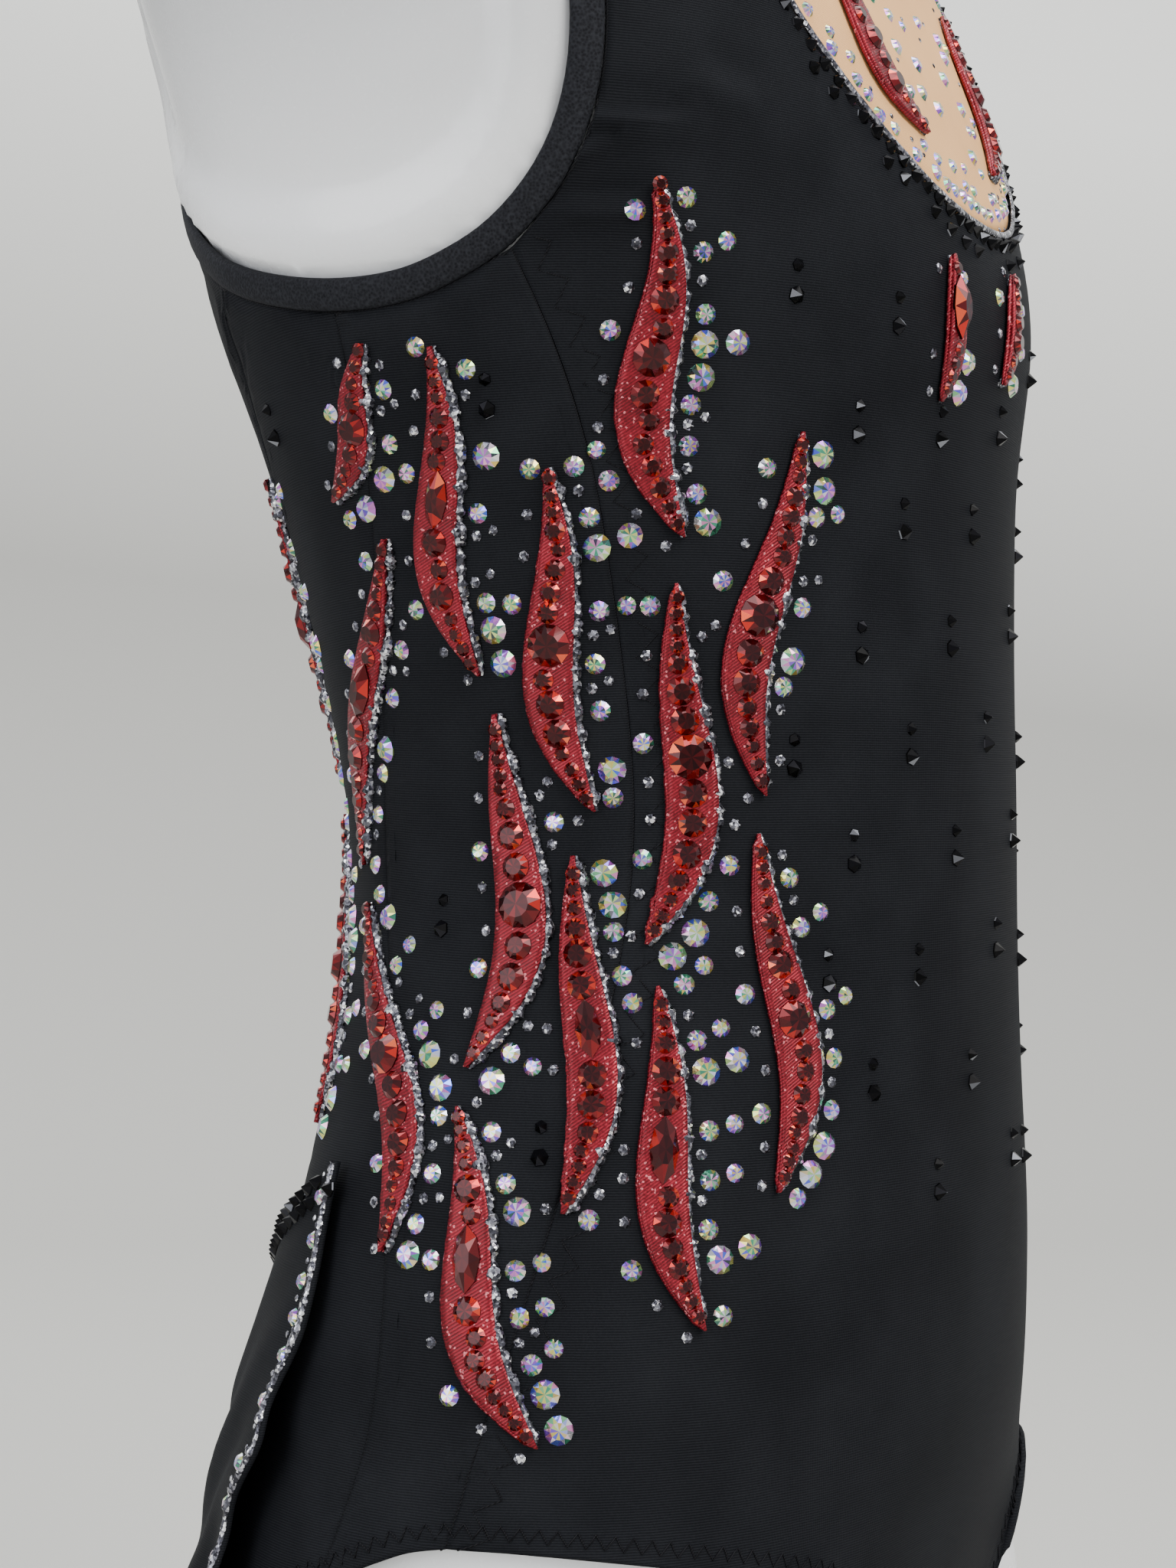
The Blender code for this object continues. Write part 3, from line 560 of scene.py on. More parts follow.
def foldMove(point, angle):
    # soft folds run from the armholes and the hem
    total = 0.0
    past = foldLook["overrun"]
    for startAngle, startHeight, endAngle, endHeight, depth, width in foldTable:
        along = Vector(((endAngle - startAngle) * foldLook["perDegree"], endHeight - startHeight))
        spot = Vector(((angle - startAngle) * foldLook["perDegree"], point.z / mm - startHeight))
        share = spot.dot(along) / along.length_squared
        if -past < share < 1 + past:
            off = (spot - along * share).length / width
            side = 1 if along.x * spot.y - along.y * spot.x > 0 else -1
            fade = math.sin(math.pi * min(max((share + past) / (1 + 2 * past), 0), 1))
            ridge = math.exp(-off * off)
            dip = foldLook["dip"] * math.exp(-((off * side + foldLook["dipOff"]) ** 2))
            total += depth * fade * (ridge - dip)
    return total * mm


def moveOf(point):
    return foldMove(point, abs(angleOf(point)))


def camel(name):
    first, *rest = name.split("_")
    return first + "".join(word.title() for word in rest)


skinPoints = []
skinFaces = []


def addSkin(mesh):
    start = len(skinPoints)
    skinPoints.extend(vert.co.copy() for vert in mesh.vertices)
    skinFaces.extend([start + index for index in polygon.vertices] for polygon in mesh.polygons)


def givenWall(piece, thickness):
    wall = piece.modifiers.new("wall", "SOLIDIFY")
    wall.thickness = thickness
    wall.offset = -1


for name, facts in cloth.items():
    work = shells[name]
    seams = seamTree(name)
    for _ in range(2):
        folded = []
        for edge in work.edges:
            if all(abs(moveOf(vert.co)) > foldLook["least"] for vert in edge.verts):
                folded.append(edge)
        bmesh.ops.subdivide_edges(work, edges=folded, cuts=1, use_grid_fill=True)
    near = []
    for edge in work.edges:
        if all(seams.find(vert.co)[2] < pucker["rippleReach"] for vert in edge.verts):
            near.append(edge)
    bmesh.ops.subdivide_edges(work, edges=near, cuts=1, use_grid_fill=True)
    work.normal_update()
    moves = []
    for vert in work.verts:
        point = vert.co.copy()
        away = seams.find(point)[2]
        run = (point.z + point.x * pucker["slantX"] + point.y * pucker["slantY"]) / pucker["pitch"]
        run += noise.noise(point * pucker["wanderScale"]) * pucker["wander"]
        fade = math.exp(-away / pucker["rippleReach"]) * (1 - math.exp(-away / pucker["calm"]))
        move = pucker["ripple"] * math.sin(run * 2 * math.pi) * fade
        move -= pucker["sink"] * math.exp(-((away / pucker["reach"]) ** 2))
        move += noise.noise(point * pucker["swellScale"]) * pucker["swell"]
        move += moveOf(point)
        moves.append(point + vert.normal * move)
    for vert, point in zip(work.verts, moves):
        vert.co = point
    piece = addPiece(work, camel(name), facts["finish"], facts["slot"], name)
    addSkin(piece.data)
    facts["piece"] = piece
    facts["surface"] = sum(polygon.area for polygon in piece.data.polygons)
    givenWall(piece, clothWall)
print("panels made:", {name: round(facts["surface"], 4) for name, facts in cloth.items()})

skin = BVHTree.FromPolygons(skinPoints, skinFaces)


def facingOut(normal, way):
    return normal if normal.dot(way) > 0 else -normal


def onSkin(angle, height, tree=skin):
    # the place and outward direction of the cloth at an angle and a height in mm
    turn = math.radians(angle)
    way = Vector((-math.sin(turn), -math.cos(turn), 0))
    point, normal = tree.ray_cast(Vector((0, bodyMiddle, height * mm)), way)[:2]
    if point is None:
        return None, None
    return point, facingOut(normal, way)


def nearSkin(point, tree=skin):
    found, normal = tree.find_nearest(point)[:2]
    return found, facingOut(normal, found - Vector((0, bodyMiddle, found.z)))


def treeOf(piece):
    points = [vert.co for vert in piece.data.vertices]
    return BVHTree.FromPolygons(points, [polygon.vertices for polygon in piece.data.polygons])


# bindings

tapes = {
    "armhole_binding_right": {"flat": (0.0100, 0.345), "area": 0.0033},
    "armhole_binding_left": {"flat": (0.0100, 0.345), "area": 0.0033},
    "neck_binding": {"flat": (0.0100, 0.345), "area": 0.0028},
}
for name, facts in tapes.items():
    work = softened(name)
    creaseRims(work, tapeCrease)
    work = subdivided(work, 2)
    facts["surface"] = sum(face.calc_area() for face in work.faces) / 2
    piece = addPiece(work, camel(name), "tape", "black_binding", name)
    facts["tree"] = treeOf(piece)
print("bindings made:", {name: round(facts["surface"], 5) for name, facts in tapes.items()})

# the back skirt

skirt = {
    "flat": (0.31, 0.11), "area": 0.0226, "outward": 0.45, "still": 20 * mm, "fade": 60 * mm,
    "ripple": 0.9 * mm, "perDegree": 1.7, "lean": 0.9, "wave": 25.5, "wander": 2.5, "wanderScale": 30,
}


def outwardFrom(point):
    away = Vector((point.x, point.y - bodyMiddle, 0))
    return away.normalized()


skirtWork = softened("back_skirt")
hidden = []
for face in skirtWork.faces:
    if face.normal.dot(outwardFrom(face.calc_center_median())) < skirt["outward"]:
        hidden.append(face)
bmesh.ops.delete(skirtWork, geom=hidden, context="FACES")
skirtWork = subdivided(skirtWork, 2)
skirtWork.normal_update()
skirtTop = max(vert.co.z for vert in skirtWork.verts)
moved = []
for vert in skirtWork.verts:
    point = vert.co.copy()
    down = min(max((skirtTop - skirt["still"] - point.z) / skirt["fade"], 0), 1)
    diagonal = abs(angleOf(point)) * skirt["perDegree"] + point.z / mm * skirt["lean"]
    wander = noise.noise(point * skirt["wanderScale"]) * skirt["wander"]
    ripple = math.sin(diagonal * 2 * math.pi / skirt["wave"] + wander)
    moved.append(point + vert.normal * ripple * down * skirt["ripple"])
for vert, point in zip(skirtWork.verts, moved):
    vert.co = point
skirtPiece = addPiece(skirtWork, "backSkirt", "knitBack", "black_knit", "back_skirt")
skirtSurface = sum(polygon.area for polygon in skirtPiece.data.polygons)
givenWall(skirtPiece, clothWall)
print("skirt made:", round(skirtSurface, 4))


# lines that trims and stones follow

def divided(points, count):
    # points that cut a line of points into equal lengths
    lengths = [0.0]
    for before, after in zip(points, points[1:]):
        lengths.append(lengths[-1] + (after - before).length)
    made = []
    at = 0
    for index in range(count + 1):
        target = lengths[-1] * index / count
        while at < len(lengths) - 2 and lengths[at + 1] < target:
            at += 1
        span = max(lengths[at + 1] - lengths[at], 1e-9)
        made.append(points[at].lerp(points[at + 1], (target - lengths[at]) / span))
    return made


def resampled(points, step):
    total = sum((after - before).length for before, after in zip(points, points[1:]))
    return divided(points, max(int(total / step), 2))


def chained(mesh, keep):
    # the longest run of a mesh's rim whose points pass the test
    links = {}
    uses = {}
    for polygon in mesh.polygons:
        for key in polygon.edge_keys:
            uses[key] = uses.get(key, 0) + 1
    for (a, b), count in uses.items():
        if count == 1 and keep(mesh.vertices[a].co) and keep(mesh.vertices[b].co):
            links.setdefault(a, []).append(b)
            links.setdefault(b, []).append(a)
    best = []
    seen = set()
    for start in sorted(links, key=lambda index: (len(links[index]), index)):
        if start in seen:
            continue
        run = [start]
        seen.add(start)
        while True:
            ahead = [index for index in links[run[-1]] if index not in seen]
            if not ahead:
                break
            run.append(ahead[0])
            seen.add(ahead[0])
        if len(run) > len(best):
            best = run
    return [mesh.vertices[index].co.copy() for index in best]


def tube(name, runs, radius, finish, slot, sides):
    # threads and cords along runs of points, as one piece
    curve = bpy.data.curves.new(name, "CURVE")
    curve.dimensions = "3D"
    curve.bevel_depth = radius
    curve.bevel_resolution = max((sides - 4) // 2, 0)
    curve.use_fill_caps = True
    for run in runs:
        line = curve.splines.new("POLY")
        line.points.add(len(run) - 1)
        for place, point in zip(line.points, run):
            # a run's points may carry a width of their own
            place.co = (point[0], point[1], point[2], 1)
            place.radius = point[3] if len(point) == 4 else 1.0
    holder = linked(name, curve)
    ready = holder.evaluated_get(bpy.context.evaluated_depsgraph_get())
    mesh = bpy.data.meshes.new_from_object(ready)
    bpy.data.objects.remove(holder, do_unlink=True)
    bpy.data.curves.remove(curve)
    return addMesh(mesh, name, finish, slot)


def frameAt(line, index, tree=skin):
    # a line's place on the cloth, the cloth's outward direction, and the ways along and to the right
    before = line[max(index - 1, 0)]
    after = line[min(index + 1, len(line) - 1)]
    point, normal = nearSkin(line[index], tree)
    ahead = (after - before).normalized()
    return point, normal, ahead, ahead.cross(normal).normalized()


rimTrees = {name: pointTree(points) for name, points in rims.items()}


def freeRim(name, keep):
    # rim points of a panel that are on no seam
    others = [tree for other, tree in rimTrees.items() if other != name]

    def test(point):
        return keep(point) and all(tree.find(point)[2] > seamReach for tree in others)

    return chained(cloth[name]["piece"].data, test)


def sharedRim(name, other, sign):
    # rim points of a panel along another one, on one side of the body
    def test(point):
        return point.x * sign > -middleSlack and rimTrees[other].find(point)[2] < seamReach

    return chained(cloth[name]["piece"].data, test)


# sewing

sewing = {
    "thread": 0.21 * mm, "gapThread": 0.42 * mm, "gapSink": 0.38 * mm, "gapStep": 2 * mm,
    "hemUp": 4.0 * mm, "hemWide": 1.5 * mm, "hemPitch": 4.0 * mm,
    "loopIn": 0.9 * mm, "loopWide": 0.55 * mm, "loopPitch": 2.3 * mm,
    "zigzagOff": 6.0 * mm, "zigzagWide": 2.6 * mm, "zigzagPitch": 8.5 * mm, "zigzagLift": -0.02 * mm,
}
legTop = 250 * mm
armLow = 440 * mm
armAside = 68 * mm
legCentre = Vector((72, -5.63, 138)) * mm
legTilt = math.radians(41)


def legAngle(point, sign):
    # the angle round a leg's tilted axis
    away = point - Vector((legCentre.x * sign, legCentre.y, legCentre.z))
    outward = away.x * sign * math.cos(legTilt) + away.z * math.sin(legTilt)
    return math.atan2(-away.y, outward)


def closedRun(points):
    return points + points[:1]


def middleOf(points):
    return sum(points, Vector()) / len(points)


def rimRound(side, keep):
    # free rim points of the panels on one side
    found = []
    for name in ("front_panel", f"side_panel_{side}", f"side_back_panel_{side}", "back_panel"):
        found += freeRim(name, keep)
    return found


def hemRun(side, sign):
    found = rimRound(side, lambda point: point.x * sign > middleSlack and point.z < legTop)
    return closedRun(sorted(found, key=lambda point: legAngle(point, sign)))


def armRun(side, sign):
    found = rimRound(side, lambda point: point.x * sign > armAside and point.z > armLow)
    middle = middleOf(found)
    return closedRun(sorted(found, key=lambda point: math.atan2(point.z - middle.z, point.y - middle.y)))


def zigzag(line, offset, wide, pitch, towards, tree=skin, lift=0.1 * mm):
    # a stitch that swings to both sides of a line set off from an edge
    fine = resampled(line, pitch / 4)
    made = []
    for index in range(len(fine)):
        point, normal, ahead, side = frameAt(fine, index, tree)
        if side.dot(towards(point) - point) < 0:
            side = -side
        flat = nearSkin(point + side * offset, tree)[1]
        side = side - flat * side.dot(flat) - ahead * side.dot(ahead)
        side.normalize()
        swing = (0, 1, 0, -1)[index % 4]
        spot, normal = nearSkin(point + side * (offset + wide * swing), tree)
        made.append(spot + normal * lift)
    return made


hems = {side: hemRun(side, sign) for side, sign in sides.items()}
arms = {side: armRun(side, sign) for side, sign in sides.items()}

stump = {
    # distances from the armhole's edge, height of the ridge, distance from the body's middle
    "from": 7.0 * mm, "full": 13.0 * mm, "hold": 17.0 * mm, "to": 28.0 * mm,
    "rise": 3.6 * mm, "aside": 60 * mm,
}


def smoothStep(value, low, high):
    share = min(max((value - low) / (high - low), 0), 1)
    return share * share * (3 - 2 * share)


def raiseStump(side, sign):
    # a soft ridge round the flat face where the form's arm would be
    line = resampled(arms[side], mm)
    tree = pointTree(line)
    middle = middleOf(line)
    mesh = formPiece.data
    moves = {}
    for vert in mesh.vertices:
        if vert.co.x * sign > stump["aside"] and vert.co.z > armLow:
            near, index, away = tree.find(vert.co)
            if (vert.co - middle).yz.length < (near - middle).yz.length:
                share = smoothStep(away, stump["from"], stump["full"])
                share *= 1 - smoothStep(away, stump["hold"], stump["to"])
                moves[vert.index] = vert.co + vert.normal * share * stump["rise"]
    for index, point in moves.items():
        mesh.vertices[index].co = point


for side, sign in sides.items():
    raiseStump(side, sign)
stitchRuns = []
for side, sign in sides.items():
    legMiddle = Vector((legCentre.x * sign, legCentre.y, legCentre.z))
    armMiddle = middleOf(arms[side])
    stitchRuns.append(zigzag(
        hems[side], sewing["hemUp"], sewing["hemWide"], sewing["hemPitch"],
        lambda point: point * 2 - legMiddle,
    ))
    stitchRuns.append(zigzag(
        arms[side], sewing["loopIn"], sewing["loopWide"], sewing["loopPitch"],
        lambda point: armMiddle, tapes[f"armhole_binding_{side}"]["tree"],
    ))
    stitchRuns.append(zigzag(
        sharedRim(f"side_panel_{side}", "front_panel", sign),
        sewing["zigzagOff"], sewing["zigzagWide"], sewing["zigzagPitch"],
        lambda point: point + Vector((0, -1, 0)), skin, sewing["zigzagLift"],
    ))
tube("stitches", stitchRuns, sewing["thread"], "thread", "black_binding", 4)


def inSeam(line, sink):
    # a thread laid low in the gap beside a line
    made = []
    fine = resampled(line, sewing["gapStep"])
    for index in range(len(fine)):
        point, normal = frameAt(fine, index)[:2]
        made.append(point - normal * sink)
    return made


gapRuns = []
for side, sign in sides.items():
    gapRuns.append(inSeam(arms[side], sewing["gapSink"]))
    sidePanel, sideBackPanel = f"side_panel_{side}", f"side_back_panel_{side}"
    for name, other in (
        (sidePanel, "front_panel"), (sidePanel, sideBackPanel), (sideBackPanel, "back_panel"),
    ):
        gapRuns.append(inSeam(sharedRim(name, other, sign), sewing["gapSink"]))
tube("seamThreads", gapRuns, sewing["gapThread"], "thread", "black_binding", 4)
print("stitches made:", sum(len(run) for run in stitchRuns))


# stones

def ringed(segments, rings, look=(0.0, 1.0)):
    # a closed shape of rings of points, each ring a height, a radius and a turn
    points = []
    for rise, size, turn in rings:
        for index in range(segments):
            angle = (index + turn) * 2 * math.pi / segments
            points.append(Vector((math.cos(angle) * size, math.sin(angle) * size, rise)))
    faces = [tuple(reversed(range(segments)))]
    looks = [(0.0, 0.1)]
    for ring in range(len(rings) - 1):
        for index in range(segments):
            low, after = ring * segments, (index + 1) % segments
            high = low + segments
            faces.append((low + index, low + after, high + after, high + index))
            looks.append(look)
    return points, faces, looks


def cutStone(segments, table, crown, girdle=0.1):
    # a flat-backed stone: a girdle, slanted crown facets and a flat table cut like a star
    # the girdle takes dark shades, painted shade on the stone's side
    points, faces, looks = ringed(segments, ((0, 1, 0), (girdle, 1, 0)), (0.0, 0.2))
    top = girdle + crown
    for index in range(segments):
        angle = (index + 0.5) * 2 * math.pi / segments
        points.append(Vector((math.cos(angle) * table, math.sin(angle) * table, top)))
    points.append(Vector((0, 0, top)))
    low, high = segments, segments * 2
    for index in range(segments):
        after = (index + 1) % segments
        faces += [
            (low + index, low + after, high + index), (low + after, high + after, high + index),
            (high + index, high + after, segments * 3),
        ]
        # painted reflections: crown facets take mostly bright shades, and the table's wedges take dark and
        # lighter shades in turn
        looks += [(0.25, 1.0), (0.1, 0.8), (0.0, 0.2) if index % 2 else (0.2, 0.5)]
    return points, faces, looks


navetteLook = {"table": 0.5, "crown": 0.3, "narrow": 0.5, "tips": 0.9, "pointed": 1.12}


def navetteStone():
    points, faces, looks = cutStone(8, navetteLook["table"], navetteLook["crown"])
    for point in points:
        point.x *= navetteLook["narrow"]
        if abs(point.y) > navetteLook["tips"]:
            point.y *= navetteLook["pointed"]
    return points, faces, looks


def capped(shape):
    # closes the top ring of a ringed shape
    points, faces, looks = shape
    count = len(faces[0])
    faces.append(tuple(range(len(points) - count, len(points))))
    # the cap takes light shades, a painted glint at the tip of a jet spike
    looks.append((0.5, 1.0))
    return shape


spikeRings = ((0, 0.9, 0), (0.14, 1.0, 0), (0.3, 0.94, 0), (1.25, 0.06, 0))
dotRings = ((0, 0.9, 0), (0.25, 1.0, 0.5), (0.55, 0.55, 0))
stoneShapes = {
    # all with a radius of 1
    "round": cutStone(12, table=0.58, crown=0.42),
    "navette": navetteStone(),
    "spike": capped(ringed(6, spikeRings)),
    "dot": capped(ringed(6, dotRings)),
}
stoneGap = 0.35 * mm
trays = {}
claimed = []  # places and radii that a new stone keeps clear of


def isFree(point, radius):
    return all((point - other).length > radius + reach + stoneGap for other, reach in claimed)


def setStone(tray, shape, point, normal, radius, ahead=None, spin=None, sink=0.12):
    # one stone in its tray, turned to stand on the cloth
    ahead = ahead or Vector((0, 0, 1))
    side = ahead.cross(normal).normalized()
    forward = normal.cross(side)
    turn = dice.uniform(0, math.pi) if spin is None else spin
    place = Matrix((side, forward, normal)).transposed().to_4x4()
    place.translation = point - normal * radius * sink
    place = place @ Matrix.Rotation(turn, 4, "Z") @ Matrix.Scale(radius, 4)
    points, faces, looks = stoneShapes[shape]
    work = trays.setdefault(tray, {"points": [], "faces": [], "shades": []})
    start = len(work["points"])
    work["points"] += [place @ spot for spot in points]
    work["faces"] += [[start + index for index in face] for face in faces]
    lean = dice.random() if tray == "auroraStones" else 0.0
    work["shades"] += [(lean + dice.uniform(*look)) % 1.0 for look in looks]
    claimed.append((point, radius))


def tryStone(tray, shape, point, normal, radius, **turns):
    if isFree(point, radius):
        setStone(tray, shape, point, normal, radius, **turns)
        return True
    return False


# leaf appliques

leafLook = {
    "wall": 1.0 * mm, "outward": 0.5, "parts": 24, "step": 0.7 * mm, "sway": 0.45 * mm,
    "bead": 1.5 * mm, "beadUp": 0.1 * mm, "beadRagged": 0.75,
    "thinBead": 0.62 * mm, "thinUp": 0.95 * mm, "thinRagged": 0.2,
    "wideScale": 520, "grain": 0.4, "grainScale": 1500, "swayScale": 700, "tip": 0.4, "tipStep": 0.15,
    "least": 10.2 * mm, "flatWide": 2.1, "flatLong": 1.02, "claim": 0.9 * mm,
}
leafNames = sorted(name for name in nodes if name.startswith("leaf_"))
leafData = []
beadRuns = []
thinRuns = []
for name in leafNames:
    work = softened(name)
    inner = []
    for face in work.faces:
        normal = nearSkin(face.calc_center_median())[1]
        if face.normal.dot(normal) < leafLook["outward"]:
            inner.append(face)
    bmesh.ops.delete(work, geom=inner, context="FACES")
    work = subdivided(work, 2)
    surface = sum(face.calc_area() for face in work.faces)
    piece = addPiece(work, camel(name), "foil", "red_foil", name)
    rim = chained(piece.data, lambda point: True)
    pairs = ((one, two) for one in rim for two in rim if one.z <= two.z)
    low, high = max(pairs, key=lambda pair: (pair[0] - pair[1]).length)
    first = rim.index(low)
    ring = rim[first:] + rim[:first]
    cut = ring.index(high)
    edges = [ring[: cut + 1], [ring[0]] + ring[: cut - 1 : -1]]
    normal = nearSkin((low + high) / 2)[1]
    right = (high - low).cross(normal)
    edges.sort(key=lambda run: -(middleOf(run) - (low + high) / 2).dot(right))
    lines = [divided(run, leafLook["parts"]) for run in edges]
    spine = [(one + two) / 2 for one, two in zip(*lines)]
    widths = [(one - two).length / 2 for one, two in zip(*lines)]
    leafTree = treeOf(piece)
    leafData.append({
        "name": name, "spine": spine, "widths": widths, "right": lines[0], "left": lines[1], "tree": leafTree,
    })
    for runs, line, ragged, lift in (
        (beadRuns, lines[0], leafLook["beadRagged"], leafLook["beadUp"]),
        (thinRuns, lines[1], leafLook["thinRagged"], leafLook["thinUp"]),
    ):
        made = []
        steps = resampled(line, leafLook["step"])
        for index in range(len(steps)):
            point, normal, ahead, side = frameAt(steps, index)
            grain = leafLook["grain"] * noise.noise(point * leafLook["grainScale"])
            width = 1 + ragged * (noise.noise(point * leafLook["wideScale"]) + grain)
            shift = side * noise.noise(point * leafLook["swayScale"]) * ragged * leafLook["sway"]
            near = min(index, len(steps) - 1 - index)
            width *= min(leafLook["tip"] + leafLook["tipStep"] * near, 1)
            made.append((*(point + shift + normal * lift), width))
        runs.append(made)
    givenWall(piece, leafLook["wall"])
    flatWide = max(max(widths) * leafLook["flatWide"], leafLook["least"])
    flat = (flatWide, (high - low).length * leafLook["flatLong"])
    min(surface, flat[0] * flat[1])
tube("leafBeads", beadRuns, leafLook["bead"], "silver", "silver_glitter", 6)
tube("leafEdges", thinRuns, leafLook["thinBead"], "foil", "red_foil", 4)
print("leaves made:", len(leafData))

for leaf in leafData:
    for point, width in zip(leaf["spine"], leaf["widths"]):
        claimed.append((point, width + leafLook["claim"]))
leafClaims = len(claimed)

redSizes = (1.7 * mm, 2.35 * mm, 3.2 * mm, 4.0 * mm, 5.4 * mm)
redRow = {
    "step": 0.5 * mm, "start": 2.2 * mm, "end": 2.0 * mm, "room": 0.82, "widest": 0.46, "early": 8,
    "navetteBefore": 1.1, "navetteAfter": 1.12, "roundRoom": 1.05, "swayFrom": 1.6, "sway": 0.45,
    "least": 0.2, "most": 1.1, "sink": 0.05,
}


def stonesOnLeaf(leaf, feature):
    # red stones from tip to tip, with one large stone in the widest part
    step, sink = redRow["step"], redRow["sink"]
    line = resampled(leaf["spine"], step)
    widths = leaf["widths"]

    def widthAt(index):
        return widths[round(index / (len(line) - 1) * (len(widths) - 1))]

    index = int(redRow["start"] / step)
    widest = int(len(line) * redRow["widest"])
    featured = feature is None
    while index < len(line) - int(redRow["end"] / step):
        room = widthAt(index) * redRow["room"]
        point, normal, ahead, side = frameAt(line, index, leaf["tree"])
        if not featured and index >= widest - redRow["early"]:
            featured = True
            shape, radius = feature
            if shape == "navette":
                index = min(index + int(radius * redRow["navetteBefore"] / step), len(line) - 2)
                point, normal, ahead, side = frameAt(line, index, leaf["tree"])
                setStone("redStones", "navette", point, normal, radius, ahead=ahead, spin=0.0, sink=sink)
                index += int(radius * redRow["navetteAfter"] / step) + 1
            else:
                radius = min(radius, room * redRow["roundRoom"])
                index = min(index + int(radius / step), len(line) - 2)
                point, normal, ahead, side = frameAt(line, index, leaf["tree"])
                setStone("redStones", "round", point, normal, radius, sink=sink)
                index += int(radius / step) + 1
        else:
            sizes = [size for size in redSizes if size <= max(room, redSizes[0])][:3]
            radius = dice.choice(sizes[-2:])
            away = 0.0
            if room > radius * redRow["swayFrom"]:
                away = dice.choice((-1, 1)) * (room - radius) * redRow["sway"]
            index += int(radius / step)
            if index >= len(line) - 2:
                break
            point, normal, ahead, side = frameAt(line, index, leaf["tree"])
            spot, normal = nearSkin(point + side * away, leaf["tree"])
            setStone("redStones", "round", spot, normal, radius, sink=sink)
            index += int((radius + dice.uniform(redRow["least"], redRow["most"]) * mm) / step)


features = (
    # the large stone's shape and radius, leaf by leaf
    ("navette", 6.6 * mm), ("round", 5.4 * mm), ("round", 4.2 * mm),
    ("navette", 5.8 * mm), ("round", 4.8 * mm),
)
for number, leaf in enumerate(leafData):
    small = "yoke" in leaf["name"]
    stonesOnLeaf(leaf, None if small else features[number % len(features)])
print("red stones set")


# black pairs on the front

pairTable = (
    # angle, height in mm of the upper stone
    (46.3, 462.3), (29.6, 458.7), (35.4, 433.7), (17.6, 435.3), (-4, 439.4), (25.9, 413), (6.7, 414.1),
    (34.2, 384.3), (14.2, 387.1), (-13.3, 392), (44.7, 358.8), (24.5, 361.6), (2.1, 365), (35.6, 337.5),
    (13.5, 338.1), (-12.2, 341.4), (23.2, 311.1), (-1.9, 315.3), (48.8, 275.2), (8.8, 285.1), (-9.7, 263.1),
    (19.8, 261.4), (75.9, 274.7), (91.5, 322.9), (82, 436.7), (118.7, 436.4), (-29, 414), (-24, 361),
    (-34, 338), (-21, 311), (-19, 262), (-35, 434), (-44, 359), (-34, 286), (33, 286), (-24, 458),
    (-40, 311), (40, 311),
)
pairLook = {"upper": 1.55 * mm, "lower": 2.1 * mm, "drop": 6.4}
for angle, height in pairTable:
    upper = onSkin(angle, height)
    lower = onSkin(angle, height - pairLook["drop"])
    if isFree(upper[0], pairLook["upper"]) and isFree(lower[0], pairLook["lower"]):
        setStone("jetStones", "spike", *upper, pairLook["upper"])
        setStone("jetStones", "spike", *lower, pairLook["lower"])


# crystals beside the leaves

trailLook = {
    "fine": 0.5 * mm, "start": 2 * mm, "wander": 0.6, "near": 0.85, "far": 1.25,
    "further": 1.2 * mm, "along": 1.5 * mm, "smaller": 0.9,
}


def trail(line, pattern, offset, step, side, chance=0.0):
    # stones beside an edge, some with a companion further out
    fine = resampled(line, trailLook["fine"])
    index = int(trailLook["start"] / trailLook["fine"])
    turn = 0
    while index < len(fine) - 3:
        shape, tray, radius = pattern[turn % len(pattern)]
        point, normal, ahead, away = frameAt(fine, index)
        wander = dice.uniform(-trailLook["wander"], trailLook["wander"]) * mm
        spot, normal = nearSkin(point + away * side * (offset + radius + wander))
        if tryStone(tray, shape, spot, normal, radius) and dice.random() < chance:
            further = away * side * (radius * 2 + trailLook["further"])
            spot, normal = nearSkin(spot + further + ahead * trailLook["along"])
            tryStone(tray, shape, spot, normal, radius * trailLook["smaller"])
        reach = radius + step * dice.uniform(trailLook["near"], trailLook["far"])
        index += int(reach / trailLook["fine"])
        turn += 1


smallAurora = ("round", "auroraStones", 2.35 * mm)
bigAurora = ("round", "auroraStones", 3.2 * mm)
silverDot = ("dot", "silverDots", 1.35 * mm)
rightPattern = [smallAurora, bigAurora, bigAurora, smallAurora, silverDot, smallAurora, silverDot]
leftPattern = [silverDot, silverDot, smallAurora]
for number, leaf in enumerate(leafData):
    if "yoke" in leaf["name"]:
        continue
    pattern = rightPattern[number % 4:] + rightPattern[: number % 4]
    trail(leaf["right"], pattern, offset=2.6 * mm, step=3.6 * mm, side=1, chance=0.35)
    trail(leaf["left"], leftPattern, offset=2.4 * mm, step=7.5 * mm, side=-1)
print("trails set:", len(claimed) - leafClaims)


# neckline and yoke

yokePiece = cloth["nude_yoke"]["piece"]
yokeTree = treeOf(yokePiece)
neckRun = chained(yokePiece.data, lambda point: rimTrees["front_panel"].find(point)[2] < seamReach)
if neckRun[0].x > neckRun[-1].x:
    neckRun.reverse()
neckSteps = resampled(neckRun, 2 * mm)
neckTree = pointTree(neckSteps)

cord = {"sink": 0.45 * mm, "shift": 0.9 * mm, "rough": 0.12 * mm, "roughScale": 900}
cordWork = subdivided(softened("neckline_cord"), 3)
for vert in cordWork.verts:
    point, normal, ahead, side = frameAt(neckSteps, neckTree.find(vert.co)[1])
    rough = vert.normal * noise.noise(vert.co * cord["roughScale"]) * cord["rough"]
    vert.co += side * cord["shift"] - normal * cord["sink"] + rough
addPiece(cordWork, "necklineCord", "silver", "silver_glitter", "neckline_cord")


